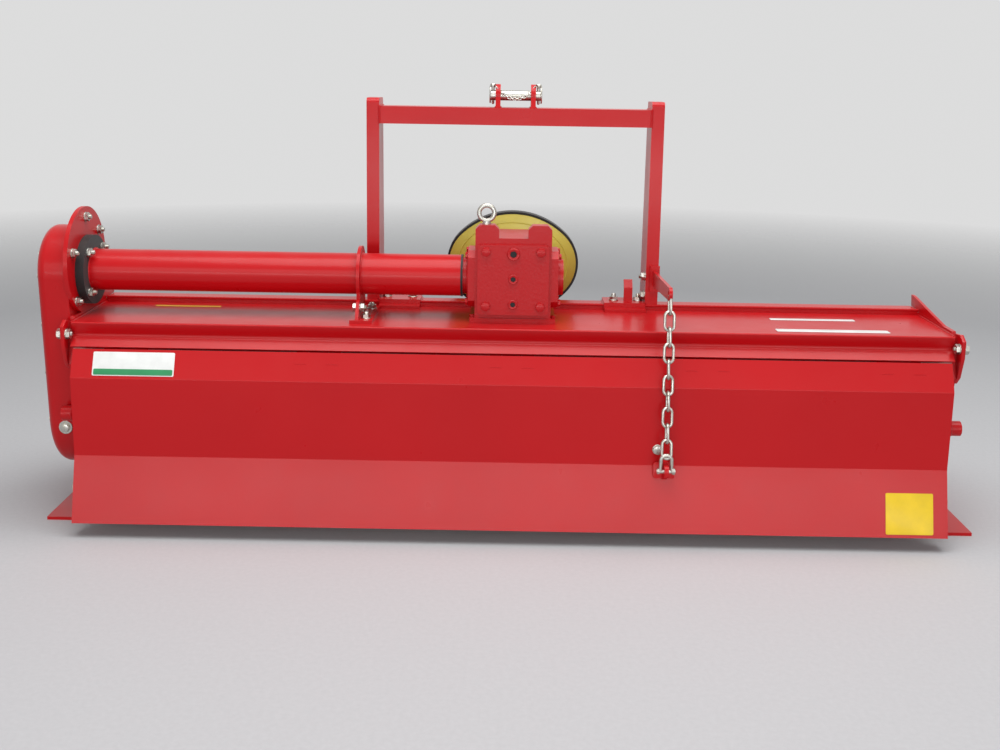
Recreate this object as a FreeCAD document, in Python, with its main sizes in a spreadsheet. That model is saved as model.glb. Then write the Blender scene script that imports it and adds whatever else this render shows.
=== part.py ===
import FreeCAD, Part
import Sketcher
import math
import os
import re

from FreeCAD import Placement, Rotation, Vector

# Rotary tiller for a tractor's three-point hitch, in millimetres.
# X points to the right seen from behind, Y forward to the tractor, Z up from the ground.
# It stands on its skids. Places ahead of or behind something are measured from the rotor's axis.

os.makedirs("parts", exist_ok=True)
doc = FreeCAD.newDocument("RotaryTiller")
sheet = doc.addObject("Spreadsheet::Sheet", "dim")

# Each row: name, value, what it is
SIZES = [
    ("rotor_ahead", -40, "rotor axis ahead of the origin"),
    ("rotor_height", 250, "rotor axis above the ground"),
    ("bay_half", 1036, "middle to the inner face of a side plate"),
    ("side_thick", 10, "side plate"),
    ("side_top", 508, "side plate's top edge above the ground"),
    ("side_foot", 12, "side plate's bottom edge above the ground"),
    ("side_front", 245, "side plate's lower front edge ahead of the rotor"),
    ("side_rear_top", 163, "side plate's rear edge behind the rotor, at its top"),
    ("side_rear_mid", 185, "the same at its widest"),
    ("side_mid_height", 397, "height of that widest place"),
    ("side_rear_low", 137, "the same at its foot"),
    ("side_low_height", 197, "height where the rear edge turns upright"),
    ("side_toe", 60, "side plate's cut front corner along Y"),
    ("side_toe_rise", 80, "the same along Z"),
    ("boss_back", 168, "rear boss behind the rotor"),
    ("boss_height", 272, "rear boss above the ground"),
    ("boss_radius", 18, "rear boss"),
    ("boss_reach", 26, "rear boss past the side plate"),
    ("seat_gap", 0.3, "clearance of a piece that is seated but free"),
    ("run_gap", 0.06, "radial clearance of a shaft or pin in its bore"),
    ("deck_height", 500, "top of the deck above the ground"),
    ("deck_skin", 6, "deck and apron sheet"),
    ("deck_back", 189, "deck's rear bend behind the rotor"),
    ("lip_in_back", 174, "lip's inner corner behind the rotor"),
    ("lip_in_drop", 34, "lip's inner corner below the deck"),
    ("lip_end_back", 199, "lip's end behind the rotor"),
    ("lip_end_drop", 56, "lip's end below the deck"),
    ("bend_radius", 9, "outer radius of the sheet bends"),
    ("beam_front", 120, "front face of the beam ahead of the rotor"),
    ("beam_deep", 60, "front beam along Y"),
    ("beam_tall", 40, "front beam along Z"),
    ("beam_wall", 6, "wall of the front beam"),
    ("beam_rise", 12, "front beam's top above the deck"),
    ("apron_front", 230, "front apron's lower part ahead of the rotor"),
    ("apron_knee", 330, "height of the apron's bend"),
    ("apron_foot", 285, "height of the apron's lower edge"),
    ("hinge_back", 175, "tailboard hinge behind the rotor"),
    ("hinge_drop", 62, "tailboard hinge below the deck"),
    ("hinge_rod_radius", 6, "hinge rod"),
    ("knuckle_radius", 9, "tailboard knuckle"),
    ("knuckle_length", 46, "one hinge knuckle"),
    ("knuckle_edge", 115, "outermost hinge place to the tailboard's end"),
    ("arm_drop", 29, "knuckle arm's foot below the hinge"),
    ("arm_web", 8, "knuckle arm's thickness"),
    ("tail_clear", 11, "tailboard's end to the side plate"),
    ("tail_skin", 5, "tailboard sheet"),
    ("tail_top_back", 212, "tailboard's upper edge behind the rotor"),
    ("tail_top_height", 442, "tailboard's upper edge above the ground"),
    ("tail_knee_back", 238, "tailboard's upper bend behind the rotor"),
    ("tail_knee_height", 378, "its height"),
    ("tail_waist_back", 234, "tailboard's lower bend behind the rotor"),
    ("tail_waist_height", 190, "its height"),
    ("tail_foot_back", 272, "tailboard's lower edge behind the rotor"),
    ("tail_foot_height", 36, "its height"),
    ("tail_return", 40, "depth of the tailboard's end flanges"),
    ("tail_flange_height", 412, "upper end of the tailboard's end flanges"),
    ("shaft_height", 605, "cross shaft and input shaft above the ground"),
    ("shaft_back", 64, "cross shaft behind the rotor"),
    ("tube_radius", 50, "drive tube"),
    ("case_deep", 76, "side case along X"),
    ("case_top_radius", 108, "side case round the drive shaft"),
    ("case_low_radius", 146, "side case round the rotor shaft"),
    ("case_edge", 22, "rounding of the case's outer edge"),
    ("tongue_radius", 130, "side plate's round tongue"),
    ("tongue_rise", 23, "tongue's middle above the cross shaft"),
    ("ring_radius", 84, "ring at the drive tube's end"),
    ("ring_deep", 20, "the same along X"),
    ("support_place", 374, "tube support left of the middle"),
    ("support_thick", 8, "tube support"),
    ("support_rim", 18, "tube support's width round the tube"),
    ("support_half", 44, "tube support's leg, half depth"),
    ("support_back", 92, "tube support's foot behind the cross shaft"),
    ("support_front", 88, "tube support's foot ahead of the cross shaft"),
    ("support_wide", 54, "tube support's foot across"),
    ("support_side", 13, "tube support's foot left of its plate"),
    ("gear_half", 91, "gearbox casting, half width"),
    ("gear_back", 56, "gearbox casting behind the cross shaft"),
    ("gear_front", 115, "gearbox casting ahead of the cross shaft"),
    ("gear_foot", 12, "thickness of the gearbox's foot flange"),
    ("foot_side", 12, "foot flange past the casting along X"),
    ("foot_end", 4, "foot flange past the casting along Y"),
    ("gear_chamfer", 14, "casting's cut upper corners"),
    ("gear_rise", 100, "top of the gearbox casting above the cross shaft"),
    ("ear_rise", 31, "ears above the casting"),
    ("ear_root", 20, "ears' root below the casting's top"),
    ("ear_chamfer", 10, "ears' cut corners"),
    ("ear_deep", 36, "ears along Y"),
    ("ear_inner", 35, "ears, middle to their inner edge"),
    ("flange_half", 68, "gearbox side flange, half size"),
    ("flange_reach", 54, "gearbox side flange, half depth"),
    ("flange_chamfer", 16, "its cut corners"),
    ("flange_thick", 17, "its thickness"),
    ("neck_in", 20, "gearbox neck inside the drive tube"),
    ("tube_wall", 6, "wall of the drive tube"),
    ("side_flange", 30, "gearbox side flange along X"),
    ("cover_thick", 12, "gearbox cover"),
    ("cover_inset", 6, "gearbox cover inside the casting's outline"),
    ("cover_foot", 10, "gearbox cover above the foot flange"),
    ("eye_radius", 18, "lifting eye, to the wire's middle"),
    ("eye_wire", 5.5, "lifting eye's wire, radius"),
    ("eye_in", 26, "lifting eye inside the casting's left face"),
    ("eye_rise", 27, "lifting eye's middle above the ear"),
    ("eye_collar", 10, "lifting eye's collar, radius"),
    ("eye_collar_tall", 8, "lifting eye's collar"),
    ("snout_radius", 60, "input bearing housing"),
    ("snout_lip", 22, "input bearing housing past the guard's back"),
    ("snout_bore", 60, "depth of its bore"),
    ("guard_root", 18, "guard's back past the input housing"),
    ("stub_radius", 17.4, "input shaft"),
    ("stub_reach", 60, "input shaft past its housing"),
    ("spline_half", 4.4, "half of a spline groove's width"),
    ("spline_deep", 2.6, "spline groove's depth"),
    ("spline_rest", 6, "splines' end to the housing"),
    ("guard_deep", 78, "guard from back to rim"),
    ("guard_skin", 4, "guard's wall"),
    ("guard_stand", 51, "guard's back ahead of the gearbox casting"),
    ("guard_half_wide", 167, "guard's rim, half width"),
    ("guard_half_tall", 130, "guard's rim, half height"),
    ("guard_drop", 8, "rim's middle below the input shaft"),
    ("guard_rim", 40, "rim's section"),
    ("guard_lip", 6, "rim past the guard"),
    ("mast_inner", 338.5, "middle to the inner face of an upright"),
    ("mast_wide", 31.5, "upright across"),
    ("mast_wall", 6, "upright's wall"),
    ("mast_deep_low", 120, "upright's depth at its foot"),
    ("mast_deep_top", 92, "upright's depth at its top"),
    ("post_drop", 10, "top link pin above the uprights' tops"),
    ("bar_drop", 30, "top link pin above the crossbar"),
    ("bar_tall", 43, "crossbar along Z"),
    ("bar_deep", 86, "crossbar along Y"),
    ("link_height", 1036, "top link pin"),
    ("link_radius", 12.7, "top link pin"),
    ("lug_gap", 76, "between the top link lugs"),
    ("lug_thick", 12, "top link lug"),
    ("lug_round", 28, "top link lug's round end"),
    ("lug_foot", 34, "top link lug's foot, half depth"),
    ("pin_past", 14, "top link pin past its lugs"),
    ("mast_height", 610, "top link pin above the lower hitch pins"),
    ("hitch_ahead", 332, "lower hitch pins ahead of the rotor"),
    ("hitch_half", 412.5, "middle to the lower hitch pin's shoulder"),
    ("hitch_radius", 14.2, "lower hitch pin"),
    ("hitch_length", 72, "lower hitch pin past its shoulder"),
    ("hitch_collar", 22, "collar behind the pin's shoulder, radius"),
    ("linch_radius", 5.5, "cross hole for the linch pin"),
    ("linch_in", 14, "cross hole from the pin's end"),
    ("hitch_thick", 14, "lower hitch plate"),
    ("hitch_round", 38, "lower hitch plate's round end"),
    ("hitch_rise", 130, "lower hitch plate above the beam"),
    ("clamp_inner", 234, "beam clamp, middle to its inner edge"),
    ("clamp_wide", 104, "beam clamp along X"),
    ("clamp_thick", 8, "beam clamp"),
    ("clamp_heel", 34, "beam clamp behind the beam"),
    ("hook_ahead", 20, "hook strip ahead of the beam's rear face"),
    ("hook_tall", 34, "hook strip's upright part"),
    ("hook_tip", 20, "rise of its bent tip"),
    ("hook_lean", 14, "lean of its bent tip"),
    ("hook_wide", 22, "hook strip across"),
    ("skid_out", 80, "skid sole past the side plate"),
    ("skid_thick", 8, "skid sole and web"),
    ("skid_rear", 165, "skid's rear end behind the rotor"),
    ("skid_flat_front", 236, "front end of the sole's flat part"),
    ("skid_nose", 90, "rise and length of the skid's nose"),
    ("skid_web_top", 118, "top of the skid's web"),
    ("skid_web_low", 84, "top of the skid's web at the side case"),
    ("skid_web_slope", 30, "slope of the web's ends along Y"),
    ("bearing_radius", 78, "rotor bearing housing"),
    ("bearing_deep", 26, "rotor bearing housing along X"),
    ("journal_radius", 32, "rotor journal"),
    ("rotor_tube_radius", 45, "rotor tube"),
    ("rotor_end_gap", 14, "rotor tube's end to the bearing housing"),
    ("disc_radius", 108, "blade disc"),
    ("disc_thick", 10, "blade disc"),
    ("disc_edge", 44, "outermost blade disc to the rotor tube's end"),
    ("disc_count", 9, "blade discs"),
    ("tip_radius", 215, "blade tips"),
    ("blade_thick", 8, "blade"),
    ("blade_root", 58, "blade's root from the rotor axis"),
    ("blade_half", 28, "half of the shank's width"),
    ("blade_wing", 104, "blade's wing along X"),
    ("blade_bend", 22, "outer radius of the blade's bend"),
    ("blade_sweep", 54, "wing's heel behind the blade's radius"),
    ("stagger", 20, "turn from one blade disc to the next, degrees"),
    ("blades_on_disc", 6, "blades on each disc"),
    ("blade_shoulder", 44, "straight part of the shank's leading edge"),
    ("blade_heel", 60, "straight part of the shank's trailing edge"),
    ("blade_toe", 4, "leading edge's end ahead of the blade's middle"),
    ("blade_bulge", 9, "trailing edge's bulge"),
    ("blade_blank", 120, "strip that the blade is cut from"),
    ("chain_x", 360, "chain right of the middle"),
    ("chain_top_back", 228, "chain's upper end behind the rotor"),
    ("chain_top_height", 591, "chain's upper end"),
    ("chain_low_back", 277, "chain's lower end behind the rotor"),
    ("chain_low_height", 224, "chain's lower end"),
    ("chain_links", 10, "links"),
    ("chain_wire", 7, "link's wire"),
    ("chain_slot", 14, "link's inner width"),
    ("arm_thick", 8, "chain arm"),
    ("arm_tall", 38, "chain arm's height"),
    ("arm_rise", 64, "chain arm above the deck"),
    ("arm_end", 15.5, "chain arm's round end"),
    ("arm_foot_half", 12, "chain arm's foot on the upright, half width"),
    ("arm_foot_past", 14, "chain arm's foot above and below the arm"),
    ("arm_eye_clear", 1.5, "clearance of the first link in the arm"),
    ("chain_lug_thick", 10, "chain lug on the tailboard"),
    ("chain_lug_round", 15.5, "its round end"),
    ("chain_lug_drop", 34, "its hole below the chain's end"),
    ("chain_lug_high", 30, "its foot above the tailboard's waist"),
    ("chain_lug_low", 32, "its foot below the tailboard's waist"),
    ("shackle_wire", 4.5, "shackle's bow and pin, radius"),
]

VALUES = {}
for row, (name, value, note) in enumerate(SIZES, start=1):
    sheet.set(f"A{row}", name)
    sheet.set(f"B{row}", str(value))
    sheet.setAlias(f"B{row}", name)
    sheet.set(f"C{row}", note)
    VALUES[name] = value
doc.recompute()

# Places worked out from the sizes above
PLACES = {
    "rotor_y": "rotor_ahead",
    "shaft_y": "rotor_y - shaft_back",
    "side_outer": "bay_half + side_thick",
    "beam_y1": "rotor_y + beam_front",
    "beam_y0": "beam_y1 - beam_deep",
    "beam_z1": "deck_height + beam_rise",
    "beam_z0": "beam_z1 - beam_tall",
    "hinge_y": "rotor_y - hinge_back",
    "hinge_z": "deck_height - hinge_drop",
    "tail_half": "bay_half - tail_clear",
    "knuckle_pitch": "(tail_half - knuckle_edge) / 2",
    "disc_pitch": "(rotor_half - disc_edge) * 2 / (disc_count - 1)",
    "rotor_half": "bay_half - bearing_deep - rotor_end_gap",
    "mast_top": "link_height - post_drop",
    "bar_top": "link_height - bar_drop",
    "bar_y0": "beam_y0",
    "link_y": "bar_y0 + bar_deep / 2",
    "hitch_y": "rotor_y + hitch_ahead",
    "hitch_z": "link_height - mast_height",
    "mast_outer": "mast_inner + mast_wide",
    "gear_y0": "shaft_y - gear_back",
    "gear_y1": "shaft_y + gear_front",
    "gear_top": "shaft_height + gear_rise",
    "eye_x": "-gear_half + eye_in",
    "eye_y": "gear_y0 + ear_deep / 2",
    "guard_y0": "gear_y1 + guard_stand",
    "snout_end": "guard_y0 + guard_skin + snout_lip",
    "guard_z": "shaft_height - guard_drop",
    "skid_x1": "side_outer + skid_out",
    "chain_top_y": "rotor_y - chain_top_back",
    "chain_low_y": "rotor_y - chain_low_back",
}


def names_in(text):
    """Write a size's name as the sheet's cell, and a place as what it is worked out from."""

    def one(match):
        word = match.group(0)
        if word in PLACES:
            return "(" + names_in(PLACES[word]) + ")"
        return "dim." + word if word in VALUES else word

    return re.sub(r"[a-z][a-z_0-9]*", one, text)


def num(text):
    """The value of a size, a place or a sum of them."""
    return float(sheet.evalExpression(names_in(str(text))))


def bind(thing, prop, text):
    thing.setExpression(prop, names_in(str(text)))


def move_to(thing, x="0", y="0", z="0"):
    for axis, text in zip("xyz", (x, y, z)):
        bind(thing, "Placement.Base." + axis, text)


def block(name, x, y, z, long, deep, tall):
    """Box from its lowest corner."""
    solid = doc.addObject("Part::Box", name)
    bind(solid, "Length", long)
    bind(solid, "Width", deep)
    bind(solid, "Height", tall)
    move_to(solid, x, y, z)
    return solid


TURNS = {
    "X": Rotation(Vector(0, 1, 0), 90),
    "Y": Rotation(Vector(1, 0, 0), -90),
    "Z": Rotation(),
}


def rod(name, axis, x, y, z, radius, length):
    """Cylinder along one axis, from the centre of its low end."""
    solid = doc.addObject("Part::Cylinder", name)
    solid.Placement = Placement(Vector(), TURNS[axis])
    bind(solid, "Radius", radius)
    bind(solid, "Height", length)
    move_to(solid, x, y, z)
    return solid


def fuse(name, pieces):
    whole = doc.addObject("Part::MultiFuse", name)
    whole.Shapes = pieces
    whole.Refine = True
    return whole


def cut(name, base, tool):
    rest = doc.addObject("Part::Cut", name)
    rest.Base = base
    rest.Tool = tool
    rest.Refine = True
    return rest


def body_of(name):
    return doc.addObject("PartDesign::Body", name)


def sketch_in(body, plane, name, offset="0"):
    """Sketch on one of the body's own planes, moved along its normal."""
    sketch = body.newObject("Sketcher::SketchObject", name)
    plane_object = next(f for f in body.Origin.OriginFeatures if f.Role == plane)
    sketch.AttachmentSupport = (plane_object, [""])
    sketch.MapMode = "FlatFace"
    bind(sketch, "AttachmentOffset.Base.z", offset)
    return sketch


def place_point(sketch, geometry, end, across, up):
    """Tie one point of a sketch to its two named places."""
    for kind, text in (("DistanceX", across), ("DistanceY", up)):
        index = sketch.addConstraint(Sketcher.Constraint(kind, -1, 1, geometry, end, num(text)))
        bind(sketch, f"Constraints[{index}]", text)


def polygon(sketch, corners):
    """Closed outline through corners given as pairs of named places."""
    points = [Vector(num(a), num(b), 0) for a, b in corners]
    first = sketch.GeometryCount
    for start, end in zip(points, points[1:] + points[:1]):
        sketch.addGeometry(Part.LineSegment(start, end), False)
    count = len(corners)
    for k in range(count):
        sketch.addConstraint(
            Sketcher.Constraint("Coincident", first + k, 2, first + (k + 1) % count, 1)
        )
    for k, (across, up) in enumerate(corners):
        place_point(sketch, first + k, 1, across, up)


def circle(sketch, across, up, radius):
    index = sketch.addGeometry(
        Part.Circle(Vector(num(across), num(up), 0), Vector(0, 0, 1), num(radius)), False
    )
    place_point(sketch, index, 3, across, up)
    size = sketch.addConstraint(Sketcher.Constraint("Radius", index, num(radius)))
    bind(sketch, f"Constraints[{size}]", radius)


def pad(body, sketch, length, back=False):
    feature = body.newObject("PartDesign::Pad", sketch.Name + "_pad")
    feature.Profile = sketch
    feature.Reversed = back
    bind(feature, "Length", length)
    sketch.Visibility = False
    return feature


def pocket(body, sketch, depth, back=False):
    feature = body.newObject("PartDesign::Pocket", sketch.Name + "_pocket")
    feature.Profile = sketch
    feature.Reversed = back
    bind(feature, "Length", depth)
    return feature


def rounded(body, feature, radius, near):
    """Fillet the edges whose middle fits the test."""
    doc.recompute()
    edges = []
    for k, edge in enumerate(feature.Shape.Edges, start=1):
        middle = edge.valueAt((edge.FirstParameter + edge.LastParameter) / 2)
        if near(edge, middle):
            edges.append(f"Edge{k}")
    if not edges:
        raise RuntimeError(body.Name + ": no edge to round")
    fillet = body.newObject("PartDesign::Fillet", feature.Name + "_round")
    fillet.Base = (feature, edges)
    bind(fillet, "Radius", radius)
    return fillet


def along(edge, direction):
    start, end = edge.Vertexes[0].Point, edge.Vertexes[-1].Point
    span = end - start
    return span.Length > 0 and abs(abs(span.normalize().dot(direction)) - 1) < 1e-6


def at_corner(corners):
    """Test for an edge along X through one of these corners of a profile in Y and Z."""
    spots = [(num(a), num(b)) for a, b in corners]

    def test(edge, middle):
        return along(edge, Vector(1, 0, 0)) and any(
            math.hypot(middle.y - a, middle.z - b) < 0.05 for a, b in spots
        )

    return test


NODES = []


def keep(piece, label):
    piece.Label = label
    NODES.append(piece)
    return piece


def solid_feature(name, shape):
    """A piece whose form is worked out here from the sheet's values."""
    feature = doc.addObject("Part::Feature", name)
    feature.Shape = shape
    return feature


def strip_corners(face, thick):
    """Corners of a bent sheet's two faces, from those of one face and the way to the other."""
    near = [(num(a), num(b)) for a, b in face]
    normals = []
    for (y0, z0), (y1, z1) in zip(near, near[1:]):
        run = math.hypot(y1 - y0, z1 - z0)
        normals.append(((z0 - z1) / run, (y1 - y0) / run))
    far = []
    for k, (y, z) in enumerate(near):
        a = normals[max(k - 1, 0)]
        b = normals[min(k, len(normals) - 1)]
        scale = thick / (1 + a[0] * b[0] + a[1] * b[1])
        far.append((y + scale * (a[0] + b[0]), z + scale * (a[1] + b[1])))
    return near, far


def strip(sketch, face, thick, side):
    """Outline of a bent sheet: one face through named places, the other parallel to it.

    side is 1 where the sheet lies left of the way along the face, and -1 where it lies right.
    """
    near, far = strip_corners(face, side * num(thick))
    count = len(face)
    ring = near + far[::-1]
    first = sketch.GeometryCount
    points = [Vector(y, z, 0) for y, z in ring]
    for start, end in zip(points, points[1:] + points[:1]):
        sketch.addGeometry(Part.LineSegment(start, end), False)
    total = len(ring)
    for k in range(total):
        sketch.addConstraint(
            Sketcher.Constraint("Coincident", first + k, 2, first + (k + 1) % total, 1)
        )
    for k, (across, up) in enumerate(face):
        place_point(sketch, first + k, 1, across, up)
    for k in range(count - 1):
        twin = first + 2 * count - 2 - k
        sketch.addConstraint(Sketcher.Constraint("Parallel", first + k, twin))
        index = sketch.addConstraint(
            Sketcher.Constraint("Distance", twin, 1, first + k, num(thick))
        )
        bind(sketch, f"Constraints[{index}]", thick)
    for cap, line in ((first + count - 1, first + count - 2), (first + total - 1, first)):
        sketch.addConstraint(Sketcher.Constraint("Perpendicular", cap, line))


def bends(body, feature, face, thick, side):
    """Round each bend of a sheet, on its outside and on its inside."""
    near, far = strip_corners(face, side * num(thick))
    outside, inside = [], []
    for k in range(1, len(face) - 1):
        (y0, z0), (y1, z1), (y2, z2) = near[k - 1 : k + 2]
        left_turn = (y1 - y0) * (z2 - z1) - (z1 - z0) * (y2 - y1) > 0
        near_is_inside = left_turn == (side > 0)
        outside.append(far[k] if near_is_inside else near[k])
        inside.append(near[k] if near_is_inside else far[k])
    feature = rounded(body, feature, "bend_radius", at_corner(outside))
    return rounded(body, feature, f"bend_radius - {thick}", at_corner(inside))


def bent_sheet(name, face, thick, side, half):
    """Bent sheet across the machine, from -half to half."""
    body = body_of(name)
    sketch = sketch_in(body, "YZ_Plane", name + "_profile")
    strip(sketch, face, thick, side)
    feature = pad(body, sketch, f"2 * {half}")
    feature.Midplane = True
    bends(body, feature, face, thick, side)
    return body


def mirrored(side, text):
    """A place along X on the right for side 1, and its mirror image on the left for side -1."""
    return text if side > 0 else f"-({text})"


def side_plate_like(name, side, corners, thick, start, discs=()):
    """Plate across X that grows outward from start, with round lobes fused to its outline."""
    body = body_of(name)
    move_to(body, mirrored(side, start))
    sketch = sketch_in(body, "YZ_Plane", name + "_outline")
    polygon(sketch, corners)
    pad(body, sketch, thick, back=side < 0)
    for k, (y, z, radius) in enumerate(discs):
        lobe = sketch_in(body, "YZ_Plane", f"{name}_lobe{k}")
        circle(lobe, y, z, radius)
        pad(body, lobe, thick, back=side < 0)
    return body


def hole_through(body, name, y, z, radius, reach):
    """Round hole along X through the whole body."""
    sketch = sketch_in(body, "YZ_Plane", name)
    circle(sketch, y, z, radius)
    feature = pocket(body, sketch, reach)
    feature.Midplane = True
    return feature


def ring_along_x(name, x, y, z, outer, inner, length):
    """Ring with its bore along X, from its low X end."""
    solid = rod(name + "_solid", "X", x, y, z, outer, length)
    bore = rod(name + "_bore", "X", f"{x} - 1", y, z, inner, f"{length} + 2")
    return cut(name, solid, bore)


SIDES = ((-1, "left"), (1, "right"))

# Deck: top sheet with the rear lip, and the knuckles that carry the hinge rod
DECK_FACE = [
    ("beam_y0", "deck_height"),
    ("rotor_y - deck_back", "deck_height"),
    ("rotor_y - lip_in_back", "deck_height - lip_in_drop"),
    ("rotor_y - lip_end_back", "deck_height - lip_end_drop"),
]
HINGE_PLACES = range(-2, 3)
deck = bent_sheet("deck_body", DECK_FACE, "deck_skin", 1, "bay_half")
for k in HINGE_PLACES:
    start = f"{k} * knuckle_pitch - knuckle_length / 2"
    barrel = sketch_in(deck, "YZ_Plane", f"deck_knuckle{k + 2}", start)
    circle(barrel, "hinge_y", "hinge_z", "knuckle_radius")
    pad(deck, barrel, "knuckle_length")
    web = sketch_in(deck, "YZ_Plane", f"deck_knuckle_web{k + 2}", start)
    polygon(
        web,
        [
            ("hinge_y - arm_web", "hinge_z"),
            ("hinge_y + arm_web", "hinge_z"),
            ("rotor_y - lip_in_back + arm_web", "deck_height - lip_in_drop - deck_skin / 2"),
            ("rotor_y - lip_in_back", "deck_height - lip_in_drop - deck_skin / 2"),
        ],
    )
    pad(deck, web, "knuckle_length")
deck.Tip = hole_through(
    deck, "deck_rod_bore", "hinge_y", "hinge_z", "hinge_rod_radius + run_gap", "2 * bay_half"
)
keep(deck, "deck")

# Front beam and the apron below it
beam = cut(
    "beam_tube",
    block("beam_outside", "-bay_half", "beam_y0", "beam_z0", "2 * bay_half", "beam_deep", "beam_tall"),
    block(
        "beam_inside",
        "-bay_half - 1",
        "beam_y0 + beam_wall",
        "beam_z0 + beam_wall",
        "2 * bay_half + 2",
        "beam_deep - 2 * beam_wall",
        "beam_tall - 2 * beam_wall",
    ),
)
keep(beam, "front_beam")

APRON_FACE = [
    ("beam_y0 + beam_deep / 2", "beam_z0"),
    ("beam_y1", "beam_z0"),
    ("rotor_y + apron_front", "apron_knee"),
    ("rotor_y + apron_front", "apron_foot"),
]
apron = bent_sheet("apron_body", APRON_FACE, "deck_skin", -1, "bay_half")
keep(apron, "front_apron")

# Side plates: the left one has a round tongue for the drive tube
SIDE_OUTLINE = [
    ("rotor_y - side_rear_low", "side_foot"),
    ("rotor_y + side_front - side_toe", "side_foot"),
    ("rotor_y + side_front", "side_foot + side_toe_rise"),
    ("rotor_y + side_front", "apron_knee"),
    ("beam_y1", "beam_z0 + side_thick"),
    ("beam_y1", "side_top"),
    ("rotor_y - side_rear_top", "side_top"),
    ("rotor_y - side_rear_mid", "side_mid_height"),
    ("rotor_y - side_rear_low", "side_low_height"),
]
for side, word in SIDES:
    lobes = [("shaft_y", "shaft_height + tongue_rise", "tongue_radius")] if side < 0 else []
    plate = side_plate_like("side_plate_body_" + word, side, SIDE_OUTLINE, "side_thick", "bay_half", lobes)
    boss = sketch_in(plate, "YZ_Plane", "side_boss_" + word)
    circle(boss, "rotor_y - boss_back", "boss_height", "boss_radius")
    pad(plate, boss, "side_thick + boss_reach", back=side < 0)
    keep(plate, "side_plate_" + word)

# Skids: flat sole, rising nose and a web against the side plate
SKID_FACE = [
    ("rotor_y - skid_rear", "0"),
    ("rotor_y + skid_flat_front", "0"),
    ("rotor_y + skid_flat_front + skid_nose", "skid_nose"),
]
SKID_WEB = [
    ("rotor_y - skid_rear", "skid_thick / 2"),
    ("rotor_y + skid_flat_front", "skid_thick / 2"),
    ("rotor_y + skid_flat_front + skid_nose - skid_thick / 2", "skid_nose"),
    ("rotor_y + skid_flat_front + skid_nose - skid_web_slope", "skid_web_top"),
    ("rotor_y + case_low_radius", "skid_web_top"),
    ("rotor_y + case_low_radius / 2", "skid_web_low"),
    ("rotor_y - case_low_radius / 2", "skid_web_low"),
    ("rotor_y - case_low_radius + skid_web_slope", "skid_web_top"),
    ("rotor_y - skid_rear", "skid_web_top"),
]
for side, word in SIDES:
    skid = body_of("skid_body_" + word)
    move_to(skid, mirrored(side, "side_outer"))
    sole = sketch_in(skid, "YZ_Plane", "skid_sole_" + word)
    strip(sole, SKID_FACE, "skid_thick", 1)
    bends(skid, pad(skid, sole, "skid_out", back=side < 0), SKID_FACE, "skid_thick", 1)
    web = sketch_in(skid, "YZ_Plane", "skid_web_" + word)
    polygon(web, SKID_WEB)
    pad(skid, web, "skid_thick", back=side < 0)
    keep(skid, "skid_" + word)


def belt(sketch, low, high):
    """Outline round two circles, each given as its centre's places and its radius."""
    circles = [[num(text) for text in low], [num(text) for text in high]]
    (y0, z0, r0), (y1, z1, r1) = circles
    span = math.hypot(y1 - y0, z1 - z0)
    lean = math.atan2(z1 - z0, y1 - y0)
    open_angle = math.acos((r0 - r1) / span)
    right, left = lean - open_angle, lean + open_angle

    def on(centre, angle):
        y, z, radius = centre
        return Vector(y + radius * math.cos(angle), z + radius * math.sin(angle), 0)

    normal = Vector(0, 0, 1)
    first = sketch.GeometryCount
    low_circle = Part.Circle(Vector(y0, z0, 0), normal, r0)
    high_circle = Part.Circle(Vector(y1, z1, 0), normal, r1)
    sketch.addGeometry(Part.ArcOfCircle(low_circle, left, right + 2 * math.pi), False)
    sketch.addGeometry(Part.LineSegment(on(circles[0], right), on(circles[1], right)), False)
    sketch.addGeometry(Part.ArcOfCircle(high_circle, right, left), False)
    sketch.addGeometry(Part.LineSegment(on(circles[1], left), on(circles[0], left)), False)
    for k in range(4):
        sketch.addConstraint(
            Sketcher.Constraint("Tangent", first + k, 2, first + (k + 1) % 4, 1)
        )
    for k, (y, z, radius) in ((0, low), (2, high)):
        place_point(sketch, first + k, 3, y, z)
        size = sketch.addConstraint(Sketcher.Constraint("Radius", first + k, num(radius)))
        bind(sketch, f"Constraints[{size}]", radius)


# Side case: the closed drive housing outside the left plate
case = body_of("case_body")
move_to(case, "-side_outer")
case_sketch = sketch_in(case, "YZ_Plane", "case_outline")
belt(
    case_sketch,
    ("rotor_y", "rotor_height", "case_low_radius"),
    ("shaft_y", "shaft_height", "case_top_radius"),
)
case_pad = pad(case, case_sketch, "case_deep", back=True)
case_face = num("-case_deep")
rounded(case, case_pad, "case_edge", lambda edge, middle: abs(middle.x - case_face) < 0.01)
keep(case, "side_case")

# Drive tube from the left plate to the gearbox, with its ring and its support on the deck
tube_x0 = "-bay_half"
tube_x1 = "-gear_half - side_flange"
tube = ring_along_x(
    "tube_pipe",
    tube_x0,
    "shaft_y",
    "shaft_height",
    "tube_radius",
    "tube_radius - tube_wall",
    f"{tube_x1} - ({tube_x0})",
)
keep(tube, "drive_tube")
ring = ring_along_x(
    "tube_ring", tube_x0, "shaft_y", "shaft_height", "ring_radius", "tube_radius", "ring_deep"
)
keep(ring, "case_ring")

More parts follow.
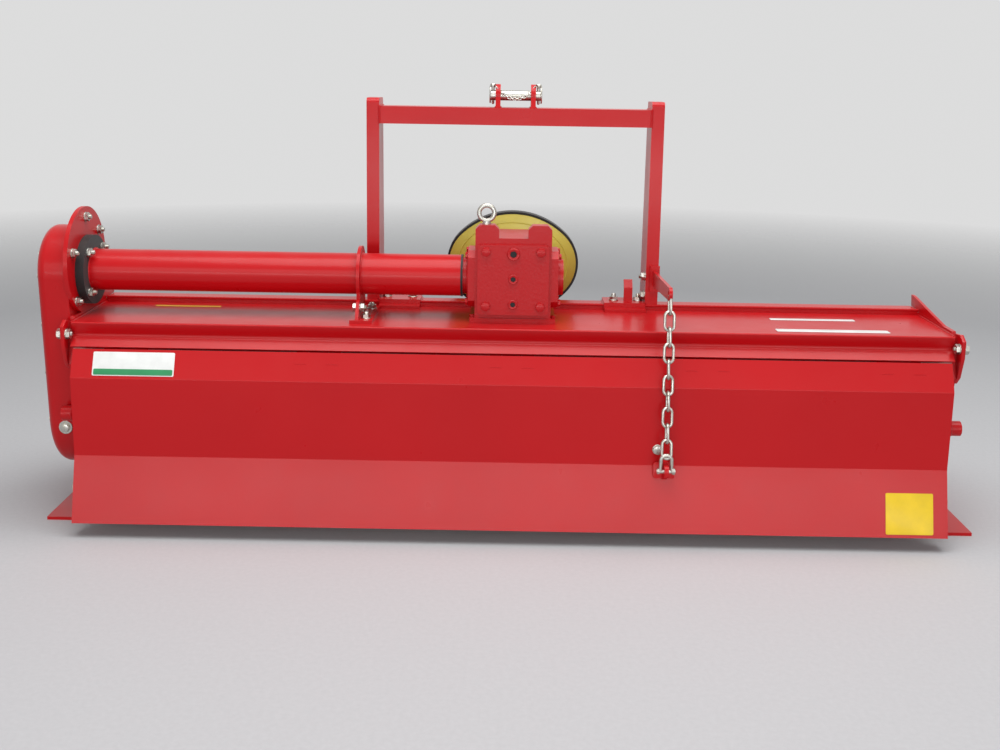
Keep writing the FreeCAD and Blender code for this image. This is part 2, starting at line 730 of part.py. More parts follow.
support = body_of("support_body")
move_to(support, "-support_place")
support_sketch = sketch_in(support, "YZ_Plane", "support_leg")
polygon(
    support_sketch,
    [
        ("shaft_y - support_half", "deck_height"),
        ("shaft_y + support_half", "deck_height"),
        ("shaft_y + tube_radius + support_rim - support_thick / 2", "shaft_height"),
        ("shaft_y - tube_radius - support_rim + support_thick / 2", "shaft_height"),
    ],
)
pad(support, support_sketch, "support_thick")
support_disc = sketch_in(support, "YZ_Plane", "support_disc")
circle(support_disc, "shaft_y", "shaft_height", "tube_radius + support_rim")
pad(support, support_disc, "support_thick")
support_foot = sketch_in(support, "YZ_Plane", "support_foot", "-support_side")
polygon(
    support_foot,
    [
        ("shaft_y - support_back", "deck_height"),
        ("shaft_y + support_front", "deck_height"),
        ("shaft_y + support_front", "deck_height + support_thick"),
        ("shaft_y - support_back", "deck_height + support_thick"),
    ],
)
pad(support, support_foot, "support_wide")
support_gusset = sketch_in(support, "YZ_Plane", "support_gusset")
polygon(
    support_gusset,
    [
        ("shaft_y - support_back", "deck_height + support_thick / 2"),
        ("shaft_y - support_half / 2", "deck_height + support_thick / 2"),
        ("shaft_y - support_half", "shaft_height - tube_radius"),
        ("shaft_y - support_half * 1.5", "shaft_height - tube_radius - support_thick"),
    ],
)
pad(support, support_gusset, "support_thick")
hole_through(support, "support_hole", "shaft_y", "shaft_height", "tube_radius", "4 * support_wide")
keep(support, "tube_support")

# Gearbox casting: foot flange, chamfered block, ears, side flanges and the input housing
gear = body_of("gear_body")
gear_foot = sketch_in(gear, "XY_Plane", "gear_foot_outline", "deck_height")
polygon(
    gear_foot,
    [
        ("-gear_half - foot_side", "gear_y0 - foot_end"),
        ("gear_half + foot_side", "gear_y0 - foot_end"),
        ("gear_half + foot_side", "gear_y1 + foot_end"),
        ("-gear_half - foot_side", "gear_y1 + foot_end"),
    ],
)
pad(gear, gear_foot, "gear_foot")
gear_block = sketch_in(gear, "XZ_Plane", "gear_block_outline", "-gear_y0")
polygon(
    gear_block,
    [
        ("-gear_half", "deck_height + gear_foot / 2"),
        ("gear_half", "deck_height + gear_foot / 2"),
        ("gear_half", "gear_top - gear_chamfer"),
        ("gear_half - gear_chamfer", "gear_top"),
        ("-gear_half + gear_chamfer", "gear_top"),
        ("-gear_half", "gear_top - gear_chamfer"),
    ],
)
pad(gear, gear_block, "gear_y1 - gear_y0", back=True)
for side, word in SIDES:
    ear = sketch_in(gear, "XZ_Plane", "gear_ear_" + word, "-gear_y0")
    polygon(
        ear,
        [
            (mirrored(side, "ear_inner"), "gear_top - ear_root"),
            (mirrored(side, "gear_half"), "gear_top - ear_root"),
            (mirrored(side, "gear_half"), "gear_top + ear_rise - ear_chamfer"),
            (mirrored(side, "gear_half - ear_chamfer"), "gear_top + ear_rise"),
            (mirrored(side, "ear_inner + ear_chamfer"), "gear_top + ear_rise"),
            (mirrored(side, "ear_inner"), "gear_top + ear_rise - ear_chamfer"),
        ],
    )
    pad(gear, ear, "ear_deep", back=True)
    flange = sketch_in(gear, "YZ_Plane", "gear_flange_" + word, mirrored(side, "gear_half - 1"))
    polygon(
        flange,
        [
            ("shaft_y - flange_reach", "shaft_height - flange_half + flange_chamfer"),
            ("shaft_y - flange_reach + flange_chamfer", "shaft_height - flange_half"),
            ("shaft_y + flange_reach - flange_chamfer", "shaft_height - flange_half"),
            ("shaft_y + flange_reach", "shaft_height - flange_half + flange_chamfer"),
            ("shaft_y + flange_reach", "shaft_height + flange_half - flange_chamfer"),
            ("shaft_y + flange_reach - flange_chamfer", "shaft_height + flange_half"),
            ("shaft_y - flange_reach + flange_chamfer", "shaft_height + flange_half"),
            ("shaft_y - flange_reach", "shaft_height + flange_half - flange_chamfer"),
        ],
    )
    pad(gear, flange, "flange_thick + 1", back=side < 0)
    neck = sketch_in(gear, "YZ_Plane", "gear_neck_" + word, mirrored(side, "gear_half"))
    circle(neck, "shaft_y", "shaft_height", "tube_radius - tube_wall - seat_gap")
    pad(gear, neck, "side_flange + neck_in" if side < 0 else "side_flange", back=side < 0)
snout = sketch_in(gear, "XZ_Plane", "gear_snout", "-gear_y1")
circle(snout, "0", "shaft_height", "snout_radius")
pad(gear, snout, "snout_end - gear_y1", back=True)
bore = sketch_in(gear, "XZ_Plane", "gear_bore", "-snout_end")
circle(bore, "0", "shaft_height", "stub_radius + run_gap")
pocket(gear, bore, "snout_bore", back=True)
keep(gear, "gearbox")

cover = body_of("cover_body")
cover_plate = sketch_in(cover, "XZ_Plane", "cover_outline", "-gear_y0")
polygon(
    cover_plate,
    [
        ("-gear_half + cover_inset", "deck_height + gear_foot + cover_foot"),
        ("gear_half - cover_inset", "deck_height + gear_foot + cover_foot"),
        ("gear_half - cover_inset", "gear_top - gear_chamfer"),
        ("-gear_half + cover_inset", "gear_top - gear_chamfer"),
    ],
)
cover_pad = pad(cover, cover_plate, "cover_thick")
rounded(cover, cover_pad, "cover_thick", lambda edge, middle: along(edge, Vector(0, 1, 0)))
keep(cover, "gearbox_cover")

# Lifting eye on the left ear
eye_ring = doc.addObject("Part::Torus", "eye_ring")
eye_ring.Placement = Placement(Vector(), TURNS["Y"])
bind(eye_ring, "Radius1", "eye_radius")
bind(eye_ring, "Radius2", "eye_wire")
move_to(eye_ring, "eye_x", "eye_y", "gear_top + ear_rise + eye_rise")
eye_stem = rod("eye_stem", "Z", "eye_x", "eye_y", "gear_top + ear_rise", "eye_collar", "eye_collar_tall")
keep(fuse("eye", [eye_ring, eye_stem]), "lifting_eye")


def oval(half_wide, half_tall, y, z):
    """Closed oval of four arcs across Y, its corners' arcs meeting at 45 degrees."""
    lean = math.radians(45)
    gain = (half_wide - half_tall) / (math.cos(lean) + math.sin(lean) - 1)
    end_radius = half_wide - gain * math.cos(lean)
    flat_radius = end_radius + gain
    end_x = gain * math.cos(lean)
    flat_z = gain * math.sin(lean)
    corners = {}
    for right in (-1, 1):
        for up in (-1, 1):
            corners[right, up] = Vector(
                right * (end_x + end_radius * math.cos(lean)),
                y,
                z + up * end_radius * math.sin(lean),
            )
    arcs = [
        Part.Arc(corners[1, -1], Vector(end_x + end_radius, y, z), corners[1, 1]),
        Part.Arc(corners[1, 1], Vector(0, y, z + flat_radius - flat_z), corners[-1, 1]),
        Part.Arc(corners[-1, 1], Vector(-end_x - end_radius, y, z), corners[-1, -1]),
        Part.Arc(corners[-1, -1], Vector(0, y, z - flat_radius + flat_z), corners[1, -1]),
    ]
    return Part.Wire([arc.toShape() for arc in arcs])


# Input shaft guard: an oval bowl round the shaft, open to the front, and its rim
guard_back = num("guard_y0")
guard_front = num("guard_y0 + guard_deep")
skin = num("guard_skin")
root_radius = num("snout_radius + guard_root")
wide, tall = num("guard_half_wide"), num("guard_half_tall")
root_z, rim_z = num("shaft_height"), num("guard_z")
outer = Part.makeLoft(
    [oval(root_radius, root_radius - 1, guard_back, root_z), oval(wide, tall, guard_front, rim_z)],
    True,
    True,
)
inner = Part.makeLoft(
    [
        oval(root_radius - skin, root_radius - 1 - skin, guard_back + skin, root_z),
        oval(wide - skin, tall - skin, guard_front + 0.01, rim_z),
    ],
    True,
    True,
)
hole = Part.makeCylinder(
    num("snout_radius + seat_gap"), 3 * skin, Vector(0, guard_back - skin, root_z), Vector(0, 1, 0)
)
keep(solid_feature("guard_bowl", outer.cut(inner).cut(hole)), "guard_cone")
rim_deep = num("guard_rim")
lip = num("guard_lip")
rim_outer = Part.Face(oval(wide + lip, tall + lip, guard_front, rim_z))
rim_inner = Part.Face(oval(wide - skin, tall - skin, guard_front, rim_z))
rim = rim_outer.cut(rim_inner).extrude(Vector(0, rim_deep, 0))
keep(solid_feature("guard_edge", rim), "guard_rim")

# Mast: channel uprights, crossbar, top link lugs and pin
UPRIGHT = [
    ("beam_y0", "beam_z1"),
    ("beam_y0 + mast_deep_low", "beam_z1"),
    ("beam_y0 + mast_deep_top", "mast_top"),
    ("beam_y0", "mast_top"),
]
UPRIGHT_HOLLOW = [
    ("beam_y0 + mast_wall", "beam_z1 - 1"),
    ("beam_y0 + mast_deep_low - mast_wall", "beam_z1 - 1"),
    ("beam_y0 + mast_deep_top - mast_wall", "mast_top - mast_wall"),
    ("beam_y0 + mast_wall", "mast_top - mast_wall"),
]
hitch_slope = "(mast_deep_low - mast_deep_top) * hitch_rise / (mast_top - beam_z1)"
HITCH_OUTLINE = [
    ("beam_y0 + mast_wall + seat_gap", "beam_z1 + seat_gap"),
    ("beam_y1 + seat_gap", "beam_z1 + seat_gap"),
    ("beam_y1 + seat_gap", "beam_z0 + beam_wall"),
    ("hitch_y - hitch_round * 0.3", "hitch_z - hitch_round * 0.9"),
    ("hitch_y + hitch_round * 0.6", "hitch_z + hitch_round * 0.7"),
    ("beam_y0 + mast_deep_low", "beam_z1 - seat_gap"),
    ("beam_y0 + mast_deep_low - 2 * mast_wall", "beam_z1 - seat_gap"),
    (
        f"beam_y0 + mast_deep_low - 2 * mast_wall - {hitch_slope}",
        "beam_z1 + hitch_rise",
    ),
    ("beam_y0 + mast_wall + seat_gap", "beam_z1 + hitch_rise"),
]
for side, word in SIDES:
    upright = side_plate_like("upright_body_" + word, side, UPRIGHT, "mast_wide", "mast_inner")
    rounded(upright, upright.Tip, "2 * mast_wall", at_corner(UPRIGHT[2:]))
    hollow = sketch_in(upright, "YZ_Plane", "upright_hollow_" + word, mirrored(side, "mast_wide"))
    polygon(hollow, UPRIGHT_HOLLOW)
    pocket(upright, hollow, "mast_wide - mast_wall", back=side < 0)
    keep(upright, "upright_" + word)

    hitch = side_plate_like(
        "hitch_body_" + word,
        side,
        HITCH_OUTLINE,
        "hitch_thick",
        "mast_inner + mast_wall",
        [("hitch_y", "hitch_z", "hitch_round")],
    )
    keep(hitch, "hitch_plate_" + word)

    shoulder = "mast_inner + mast_wall + hitch_thick"
    collar_length = f"hitch_half - ({shoulder})"
    collar_x = shoulder if side > 0 else "-hitch_half"
    pin_x = "hitch_half - 1" if side > 0 else "-hitch_half - hitch_length"
    collar = rod(
        "hitch_collar_" + word, "X", collar_x, "hitch_y", "hitch_z", "hitch_collar", collar_length
    )
    pin = rod("hitch_pin_rod_" + word, "X", pin_x, "hitch_y", "hitch_z", "hitch_radius", "hitch_length + 1")
    linch_x = mirrored(side, "hitch_half + hitch_length - linch_in")
    linch_z = "hitch_z - hitch_collar"
    linch = rod(
        "hitch_linch_" + word, "Z", linch_x, "hitch_y", linch_z, "linch_radius", "2 * hitch_collar"
    )
    whole_pin = fuse("hitch_pin_whole_" + word, [collar, pin])
    keep(cut("hitch_pin_body_" + word, whole_pin, linch), "hitch_pin_" + word)

    clamp = body_of("clamp_body_" + word)
    move_to(clamp, mirrored(side, "clamp_inner"))
    clamp_sketch = sketch_in(clamp, "YZ_Plane", "clamp_profile_" + word)
    clamp_face = [
        ("beam_y0 - clamp_heel", "deck_height"),
        ("beam_y0", "deck_height"),
        ("beam_y0", "beam_z1"),
        ("beam_y1", "beam_z1"),
        ("beam_y1", "beam_z0 + beam_wall"),
    ]
    strip(clamp_sketch, clamp_face, "clamp_thick", 1)
    pad(clamp, clamp_sketch, "clamp_wide", back=side < 0)
    keep(clamp, "beam_clamp_" + word)

bar = cut(
    "crossbar_tube",
    block(
        "crossbar_outside",
        "-mast_inner",
        "bar_y0",
        "bar_top - bar_tall",
        "2 * mast_inner",
        "bar_deep",
        "bar_tall",
    ),
    block(
        "crossbar_inside",
        "-mast_inner - 1",
        "bar_y0 + mast_wall",
        "bar_top - bar_tall + mast_wall",
        "2 * mast_inner + 2",
        "bar_deep - 2 * mast_wall",
        "bar_tall - 2 * mast_wall",
    ),
)
keep(bar, "crossbar")

lugs = body_of("lug_body")
for side, word in SIDES:
    lug_start = mirrored(side, "lug_gap / 2")
    lug_foot = sketch_in(lugs, "YZ_Plane", "lug_foot_" + word, lug_start)
    polygon(
        lug_foot,
        [
            ("link_y - lug_foot", "bar_top"),
            ("link_y + lug_foot", "bar_top"),
            ("link_y + lug_round * 0.95", "link_height"),
            ("link_y - lug_round * 0.95", "link_height"),
        ],
    )
    if side < 0:
        lugs.AllowCompound = True
    pad(lugs, lug_foot, "lug_thick", back=side < 0)
    lug_head = sketch_in(lugs, "YZ_Plane", "lug_head_" + word, lug_start)
    circle(lug_head, "link_y", "link_height", "lug_round")
    pad(lugs, lug_head, "lug_thick", back=side < 0)
hole_through(lugs, "lug_hole", "link_y", "link_height", "link_radius + run_gap", "2 * mast_inner")
keep(lugs, "top_link_lugs")
keep(
    rod(
        "link_pin",
        "X",
        "-lug_gap / 2 - lug_thick - pin_past",
        "link_y",
        "link_height",
        "link_radius",
        "lug_gap + 2 * lug_thick + 2 * pin_past",
    ),
    "top_link_pin",
)

# Hook strip on the right clamp
hook = body_of("hook_body")
move_to(hook, "clamp_inner + clamp_wide / 2")
HOOK_FACE = [
    ("beam_y0 + hook_ahead", "beam_z1 + clamp_thick"),
    ("beam_y0 + hook_ahead", "beam_z1 + clamp_thick + hook_tall"),
    ("beam_y0 + hook_ahead + hook_lean", "beam_z1 + clamp_thick + hook_tall + hook_tip"),
]
hook_sketch = sketch_in(hook, "YZ_Plane", "hook_profile")
strip(hook_sketch, HOOK_FACE, "mast_wall", -1)
bends(hook, pad(hook, hook_sketch, "hook_wide"), HOOK_FACE, "mast_wall", -1)
keep(hook, "shaft_hook")

# Rotor bearings inside the side plates
for side, word in SIDES:
    low_x = "bay_half - bearing_deep" if side > 0 else "-bay_half"
    bearing = ring_along_x(
        "bearing_ring_" + word,
        low_x,
        "rotor_y",
        "rotor_height",
        "bearing_radius",
        "journal_radius + run_gap",
        "bearing_deep",
    )
    keep(bearing, "bearing_" + word)

# Hinge rod along the whole tailboard
keep(
    rod(
        "hinge_long_rod",
        "X",
        "-bay_half + seat_gap",
        "hinge_y",
        "hinge_z",
        "hinge_rod_radius",
        "2 * (bay_half - seat_gap)",
    ),
    "hinge_rod",
)

# Rotor: tube, journals and blade discs in one welded piece
rotor_parts = [
    rod(
        "rotor_tube", "X", "-rotor_half", "rotor_y", "rotor_height", "rotor_tube_radius", "2 * rotor_half"
    ),
    rod(
        "rotor_journals",
        "X",
        "-bay_half + 1",
        "rotor_y",
        "rotor_height",
        "journal_radius",
        "2 * (bay_half - 1)",
    ),
]
disc_total = int(num("disc_count"))
disc_places = [f"({k} - (disc_count - 1) / 2) * disc_pitch" for k in range(disc_total)]
for k, place in enumerate(disc_places):
    rotor_parts.append(
        rod(
            f"blade_disc{k}",
            "X",
            f"{place} - disc_thick / 2",
            "rotor_y",
            "rotor_height",
            "disc_radius",
            "disc_thick",
        )
    )
keep(fuse("rotor_welded", rotor_parts), "rotor_shaft")

# One blade: an L-shaped strip cut to its swept outline, shank at X from 0 outward
blade_top = "sqrt(tip_radius^2 - blade_sweep^2)"
blade = body_of("blade_body")
blade_sketch = sketch_in(blade, "XZ_Plane", "blade_section", "-blade_blank / 2")
BLADE_FACE = [
    ("0", "blade_root"),
    ("0", blade_top),
    ("blade_wing", blade_top),
]
strip(blade_sketch, BLADE_FACE, "blade_thick", -1)
blade_strip = pad(blade, blade_sketch, "blade_blank")
doc.recompute()


def blade_bend_at(spot_x, spot_z):
    return lambda edge, middle: (
        along(edge, Vector(0, 1, 0)) and math.hypot(middle.x - spot_x, middle.z - spot_z) < 0.05
    )


top_z, thick = num(blade_top), num("blade_thick")
blade_strip = rounded(blade, blade_strip, "blade_bend", blade_bend_at(0, top_z))
blade_strip = rounded(
    blade, blade_strip, "blade_bend - blade_thick", blade_bend_at(thick, top_z - thick)
)
doc.recompute()

# The blade's outline across X: straight root, leading edge swept back, heel behind
half = num("blade_half")
sweep = num("blade_sweep")
root = num("blade_root")
reach = num("tip_radius")
toe, bulge = num("blade_toe"), num("blade_bulge")
shoulder, heel = root + num("blade_shoulder"), root + num("blade_heel")
lead_in, lead_out = Vector(0, half, shoulder), Vector(0, toe, reach + toe)
lead_mid = Vector(0, half - toe / 2, (shoulder + reach) / 2 + toe)
heel_out, heel_in = Vector(0, -sweep, reach + toe), Vector(0, -half, heel)
heel_mid = Vector(0, -half - bulge, (heel + reach) / 2)
blade_edge = Part.Wire(
    [
        Part.LineSegment(Vector(0, -half, root), Vector(0, half, root)).toShape(),
        Part.LineSegment(Vector(0, half, root), lead_in).toShape(),
        Part.Arc(lead_in, lead_mid, lead_out).toShape(),
        Part.LineSegment(lead_out, heel_out).toShape(),
        Part.Arc(heel_out, heel_mid, heel_in).toShape(),
        Part.LineSegment(heel_in, Vector(0, -half, root)).toShape(),
    ]
)
wing = num("blade_wing")
outline = Part.Face(blade_edge).extrude(Vector(wing + 2, 0, 0))
outline.translate(Vector(-1, 0, 0))
right_blade = blade.Shape.common(outline).removeSplitter()
left_blade = right_blade.mirror(Vector(0, 0, 0), Vector(1, 0, 0))

# Blades on each disc, in turn to the right and left; the end discs have only inward ones
blades_on_disc = int(num("blades_on_disc"))
blades = []
for k, place in enumerate(disc_places):
    for turn in range(blades_on_disc):
        side = 1 if turn % 2 == 0 else -1
        outward = (k == 0 and side < 0) or (k == disc_total - 1 and side > 0)
        if outward:
            continue
        copy = (right_blade if side > 0 else left_blade).copy()
        copy.rotate(Vector(0, 0, 0), Vector(1, 0, 0), 360 * turn / blades_on_disc + k * num("stagger"))
        face_x = num(f"{place} + {side} * disc_thick / 2")
        copy.translate(Vector(face_x, num("rotor_y"), num("rotor_height")))
        blades.append(copy)
keep(solid_feature("blade_set", Part.makeCompound(blades)), "rotor_blades")

# Input shaft with six splines, running in the gearbox's input housing
stub = body_of("stub_body")
stub_start = "snout_end - snout_bore + 2"
stub_end = "snout_end + stub_reach"
stub_sketch = sketch_in(stub, "XZ_Plane", "stub_outline")
circle(stub_sketch, "0", "0", "stub_radius")
pad(stub, stub_sketch, f"{stub_end} - ({stub_start})", back=True)
move_to(stub, "0", stub_start, "shaft_height")
groove = sketch_in(stub, "XZ_Plane", "stub_groove", f"-({stub_end} - ({stub_start}))")
polygon(
    groove,
    [
        ("-spline_half", "stub_radius - spline_deep"),
        ("spline_half", "stub_radius - spline_deep"),
        ("spline_half", "stub_radius + spline_deep"),
        ("-spline_half", "stub_radius + spline_deep"),
    ],
)
groove_cut = pocket(stub, groove, "stub_reach - spline_rest", back=True)
splines = stub.newObject("PartDesign::PolarPattern", "stub_splines")
splines.Originals = [groove_cut]
splines.Axis = (next(f for f in stub.Origin.OriginFeatures if f.Role == "Y_Axis"), [""])
splines.Angle = 360
splines.Occurrences = 6
stub.Tip = splines
keep(stub, "input_shaft")

# Tailboard: sheet with two long bends, end flanges and the moving hinge knuckles
tail_top_slope = "(tail_knee_back - tail_top_back) / (tail_top_height - tail_knee_height)"
TAIL_BENDS = [
    ("rotor_y - tail_knee_back", "tail_knee_height"),
    ("rotor_y - tail_waist_back", "tail_waist_height"),
    ("rotor_y - tail_foot_back", "tail_foot_height"),
]


def tail_top_back_at(height):
    """Y of the tailboard's upper band, on its outer face, at a height."""
    return f"rotor_y - tail_top_back - {tail_top_slope} * (tail_top_height - ({height}))"


TAIL_FACE = [(tail_top_back_at("tail_top_height"), "tail_top_height")] + TAIL_BENDS
TAIL_FLANGE = [(tail_top_back_at("tail_flange_height"), "tail_flange_height")] + TAIL_BENDS
tail = bent_sheet("tail_body", TAIL_FACE, "tail_skin", 1, "tail_half")
for side, word in SIDES:
    edge_flange = sketch_in(tail, "YZ_Plane", "tail_return_" + word, mirrored(side, "tail_half"))
    strip(edge_flange, TAIL_FLANGE, "tail_return", 1)
    pad(tail, edge_flange, "tail_skin", back=side > 0)
for k in HINGE_PLACES:
    for side, word in SIDES:
        start = f"{k} * knuckle_pitch + {side} * (knuckle_length / 2 + 1)"
        foot_back = tail_top_back_at("hinge_z - arm_drop") + " + tail_skin / 2"
        arm = sketch_in(tail, "YZ_Plane", f"tail_arm{k + 2}_{word}", start)
        polygon(
            arm,
            [
                ("hinge_y + arm_web - 2", "hinge_z"),
                ("hinge_y - arm_web + 2", "hinge_z"),
                ("hinge_y - arm_web + 2", "hinge_z - arm_drop + arm_web"),
                (foot_back, "hinge_z - arm_drop + arm_web"),
                (foot_back, "hinge_z - arm_drop"),
                ("hinge_y + arm_web - 2", "hinge_z - arm_drop"),
            ],
        )
        pad(tail, arm, "knuckle_length * 0.6", back=side < 0)
        barrel = sketch_in(tail, "YZ_Plane", f"tail_knuckle{k + 2}_{word}", start)
        circle(barrel, "hinge_y", "hinge_z", "knuckle_radius")
        pad(tail, barrel, "knuckle_length * 0.6", back=side < 0)
tail.Tip = hole_through(
    tail, "tail_rod_bore", "hinge_y", "hinge_z", "hinge_rod_radius + run_gap", "2 * bay_half"
)
keep(tail, "tailboard")


def tail_surface(end, rise):
    """Y of the tailboard's outer face on the way from its waist to an end, at a rise above the waist."""
    slope = f"(tail_{end}_back - tail_waist_back) / (tail_{end}_height - tail_waist_height)"
    return f"rotor_y - tail_waist_back - {slope} * ({rise})"


# Chain lug on the tailboard, across its waist
lug_y = "chain_low_y"
lug_z = "chain_low_height - chain_lug_drop"
chain_lug = body_of("chain_lug_body")
move_to(chain_lug, "chain_x - chain_lug_thick / 2")
chain_lug_sketch = sketch_in(chain_lug, "YZ_Plane", "chain_lug_outline")
polygon(
    chain_lug_sketch,
    [
        (tail_surface("knee", "chain_lug_high"), "tail_waist_height + chain_lug_high"),
        (lug_y, f"{lug_z} + chain_lug_round * 0.95"),
        (lug_y, f"{lug_z} - chain_lug_round * 0.95"),
        (tail_surface("foot", "-chain_lug_low"), "tail_waist_height - chain_lug_low"),
        (tail_surface("foot", "-bend_radius"), "tail_waist_height - bend_radius"),
        (tail_surface("knee", "bend_radius"), "tail_waist_height + bend_radius"),
    ],
)
pad(chain_lug, chain_lug_sketch, "chain_lug_thick")
chain_lug_round = sketch_in(chain_lug, "YZ_Plane", "chain_lug_round")
circle(chain_lug_round, lug_y, lug_z, "chain_lug_round")
pad(chain_lug, chain_lug_round, "chain_lug_thick")
hole_through(chain_lug, "chain_lug_hole", lug_y, lug_z, "shackle_wire + run_gap", "4 * chain_lug_thick")
keep(chain_lug, "chain_lug")

# Shackle: a bow over the last link, with its pin through the lug
chain_x = num("chain_x")
shackle_wire = num("shackle_wire")
chain_top = Vector(chain_x, num("chain_top_y"), num("chain_top_height"))
chain_low = Vector(chain_x, num("chain_low_y"), num("chain_low_height"))
pin_at = Vector(chain_x, num(lug_y), num(lug_z))
bow_half = num("chain_lug_thick") / 2 + shackle_wire + 3
bow_rise = (chain_low - pin_at).Length + shackle_wire - bow_half
across = Vector(1, 0, 0)
bow_end = Vector(bow_half, 0, bow_rise)
bow_section = Part.Face(Part.Wire([Part.Circle(bow_end, Vector(0, 0, 1), shackle_wire).toShape()]))
bow = bow_section.revolve(Vector(0, 0, bow_rise), Vector(0, -1, 0), 180)
for side in (-1, 1):
    bow = bow.fuse(Part.makeCylinder(shackle_wire, bow_rise, Vector(side * bow_half, 0, 0)))
bow.Placement = Placement(pin_at, Rotation(Vector(0, 0, 1), chain_low - pin_at))
pin_half = bow_half + 2 * shackle_wire
shackle_pin = Part.makeCylinder(shackle_wire, 2 * pin_half, pin_at - across * pin_half, across)
keep(solid_feature("shackle_piece", bow.fuse(shackle_pin).removeSplitter()), "shackle")

# Chain: closed links, each turned a quarter from the one before
links = int(num("chain_links"))
wire = num("chain_wire") / 2
down = (chain_low - chain_top).normalize()
pitch = (chain_low - chain_top).Length / links
slot = num("chain_slot") / 2
gap = num("seat_gap")


def link(top, over):
    """One closed link whose inner upper end is at top, lying along down and over."""
    bend = slot + wire
    upper = top + down * slot
    lower = top + down * (pitch + gap - slot)
    side_a, side_b = over * bend, over * -bend
    path = Part.Wire(
        [
            Part.LineSegment(lower + side_a, upper + side_a).toShape(),
            Part.Arc(upper + side_a, upper - down * bend, upper + side_b).toShape(),
            Part.LineSegment(upper + side_b, lower + side_b).toShape(),
            Part.Arc(lower + side_b, lower + down * bend, lower + side_a).toShape(),
        ]
    )
    section = Part.Wire([Part.Circle(lower + side_a, down, wire).toShape()])
    return path.makePipeShell([section], True, False)


edge_on = down.cross(across)
chain_solids = [
    link(chain_top + down * (k * pitch), across if k % 2 == 0 else edge_on) for k in range(links)
]
keep(solid_feature("chain_solids", Part.makeCompound(chain_solids)), "chain")

# Flat arm from the right upright to the chain's upper end
arm = body_of("arm_body")
move_to(arm, "chain_x - arm_thick / 2")
eye_z = "chain_top_height + chain_wire"
arm_sketch = sketch_in(arm, "YZ_Plane", "arm_outline")
polygon(
    arm_sketch,
    [
        ("beam_y0", "deck_height + arm_rise"),
        ("beam_y0", "deck_height + arm_rise + arm_tall"),
        ("chain_top_y", f"{eye_z} + arm_end * 0.95"),
        ("chain_top_y", f"{eye_z} - arm_end * 0.95"),
    ],
)
pad(arm, arm_sketch, "arm_thick")
arm_end = sketch_in(arm, "YZ_Plane", "arm_end")
circle(arm_end, "chain_top_y", eye_z, "arm_end")
pad(arm, arm_end, "arm_thick")
arm_foot = sketch_in(arm, "XZ_Plane", "arm_foot", "-beam_y0")
polygon(
    arm_foot,
    [
        ("arm_thick / 2 - arm_foot_half", "deck_height + arm_rise - arm_foot_past"),
        ("arm_thick / 2 + arm_foot_half", "deck_height + arm_rise - arm_foot_past"),
        ("arm_thick / 2 + arm_foot_half", "deck_height + arm_rise + arm_tall + arm_foot_past"),
        ("arm_thick / 2 - arm_foot_half", "deck_height + arm_rise + arm_tall + arm_foot_past"),
    ],
)
pad(arm, arm_foot, "arm_thick")
hole_through(arm, "arm_eye", "chain_top_y", eye_z, "chain_wire + arm_eye_clear", "4 * arm_thick")
keep(arm, "chain_arm")

doc.recompute()
for thing in doc.Objects:
    if any(word in ("Invalid", "Error") for word in thing.State):
        raise RuntimeError(f"{thing.Name} ({thing.Label}) did not build: {thing.State}")
for piece in NODES:
    if piece.Shape.isNull() or not piece.Shape.isValid():
        raise RuntimeError(f"{piece.Label} has no valid shape")
for piece in NODES:
    piece.Shape.exportStep(f"parts/{piece.Label}.step")
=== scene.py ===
import math
import random

import bmesh
import bpy
from mathutils import Matrix, Vector
from bpy.props import FloatProperty, FloatVectorProperty, IntProperty, PointerProperty


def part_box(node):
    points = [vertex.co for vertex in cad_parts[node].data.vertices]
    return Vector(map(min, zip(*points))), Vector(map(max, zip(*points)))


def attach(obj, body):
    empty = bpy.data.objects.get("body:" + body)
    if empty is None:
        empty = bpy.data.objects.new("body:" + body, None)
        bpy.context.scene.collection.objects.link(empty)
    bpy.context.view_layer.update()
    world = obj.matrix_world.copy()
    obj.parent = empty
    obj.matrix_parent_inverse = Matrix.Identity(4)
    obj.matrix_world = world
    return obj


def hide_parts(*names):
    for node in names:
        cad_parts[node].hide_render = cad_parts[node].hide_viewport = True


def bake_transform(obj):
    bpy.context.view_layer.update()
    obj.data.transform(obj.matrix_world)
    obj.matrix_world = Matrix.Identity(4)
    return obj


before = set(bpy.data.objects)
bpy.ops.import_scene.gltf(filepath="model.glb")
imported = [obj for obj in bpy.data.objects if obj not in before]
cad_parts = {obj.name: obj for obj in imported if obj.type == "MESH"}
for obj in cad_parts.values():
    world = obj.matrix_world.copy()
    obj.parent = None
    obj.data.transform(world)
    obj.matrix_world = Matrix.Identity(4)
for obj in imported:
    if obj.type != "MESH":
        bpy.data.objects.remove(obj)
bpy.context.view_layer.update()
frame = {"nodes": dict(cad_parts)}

bl_info = {
    "name": "Rotary tiller looks",
    "version": (1, 0, 0),
    "blender": (4, 5, 0),
    "location": "View3D > Sidebar > Tiller",
    "description": "Finishes, fasteners, chain, plates, welds and studio for a rotary tiller",
    "category": "Object",
}

X, Y, Z = Vector((1, 0, 0)), Vector((0, 1, 0)), Vector((0, 0, 1))
SIDES = (("left", -1), ("right", 1))
SEED = 20  # of the bolts' turns, the welds' ripples and the chain links' lean


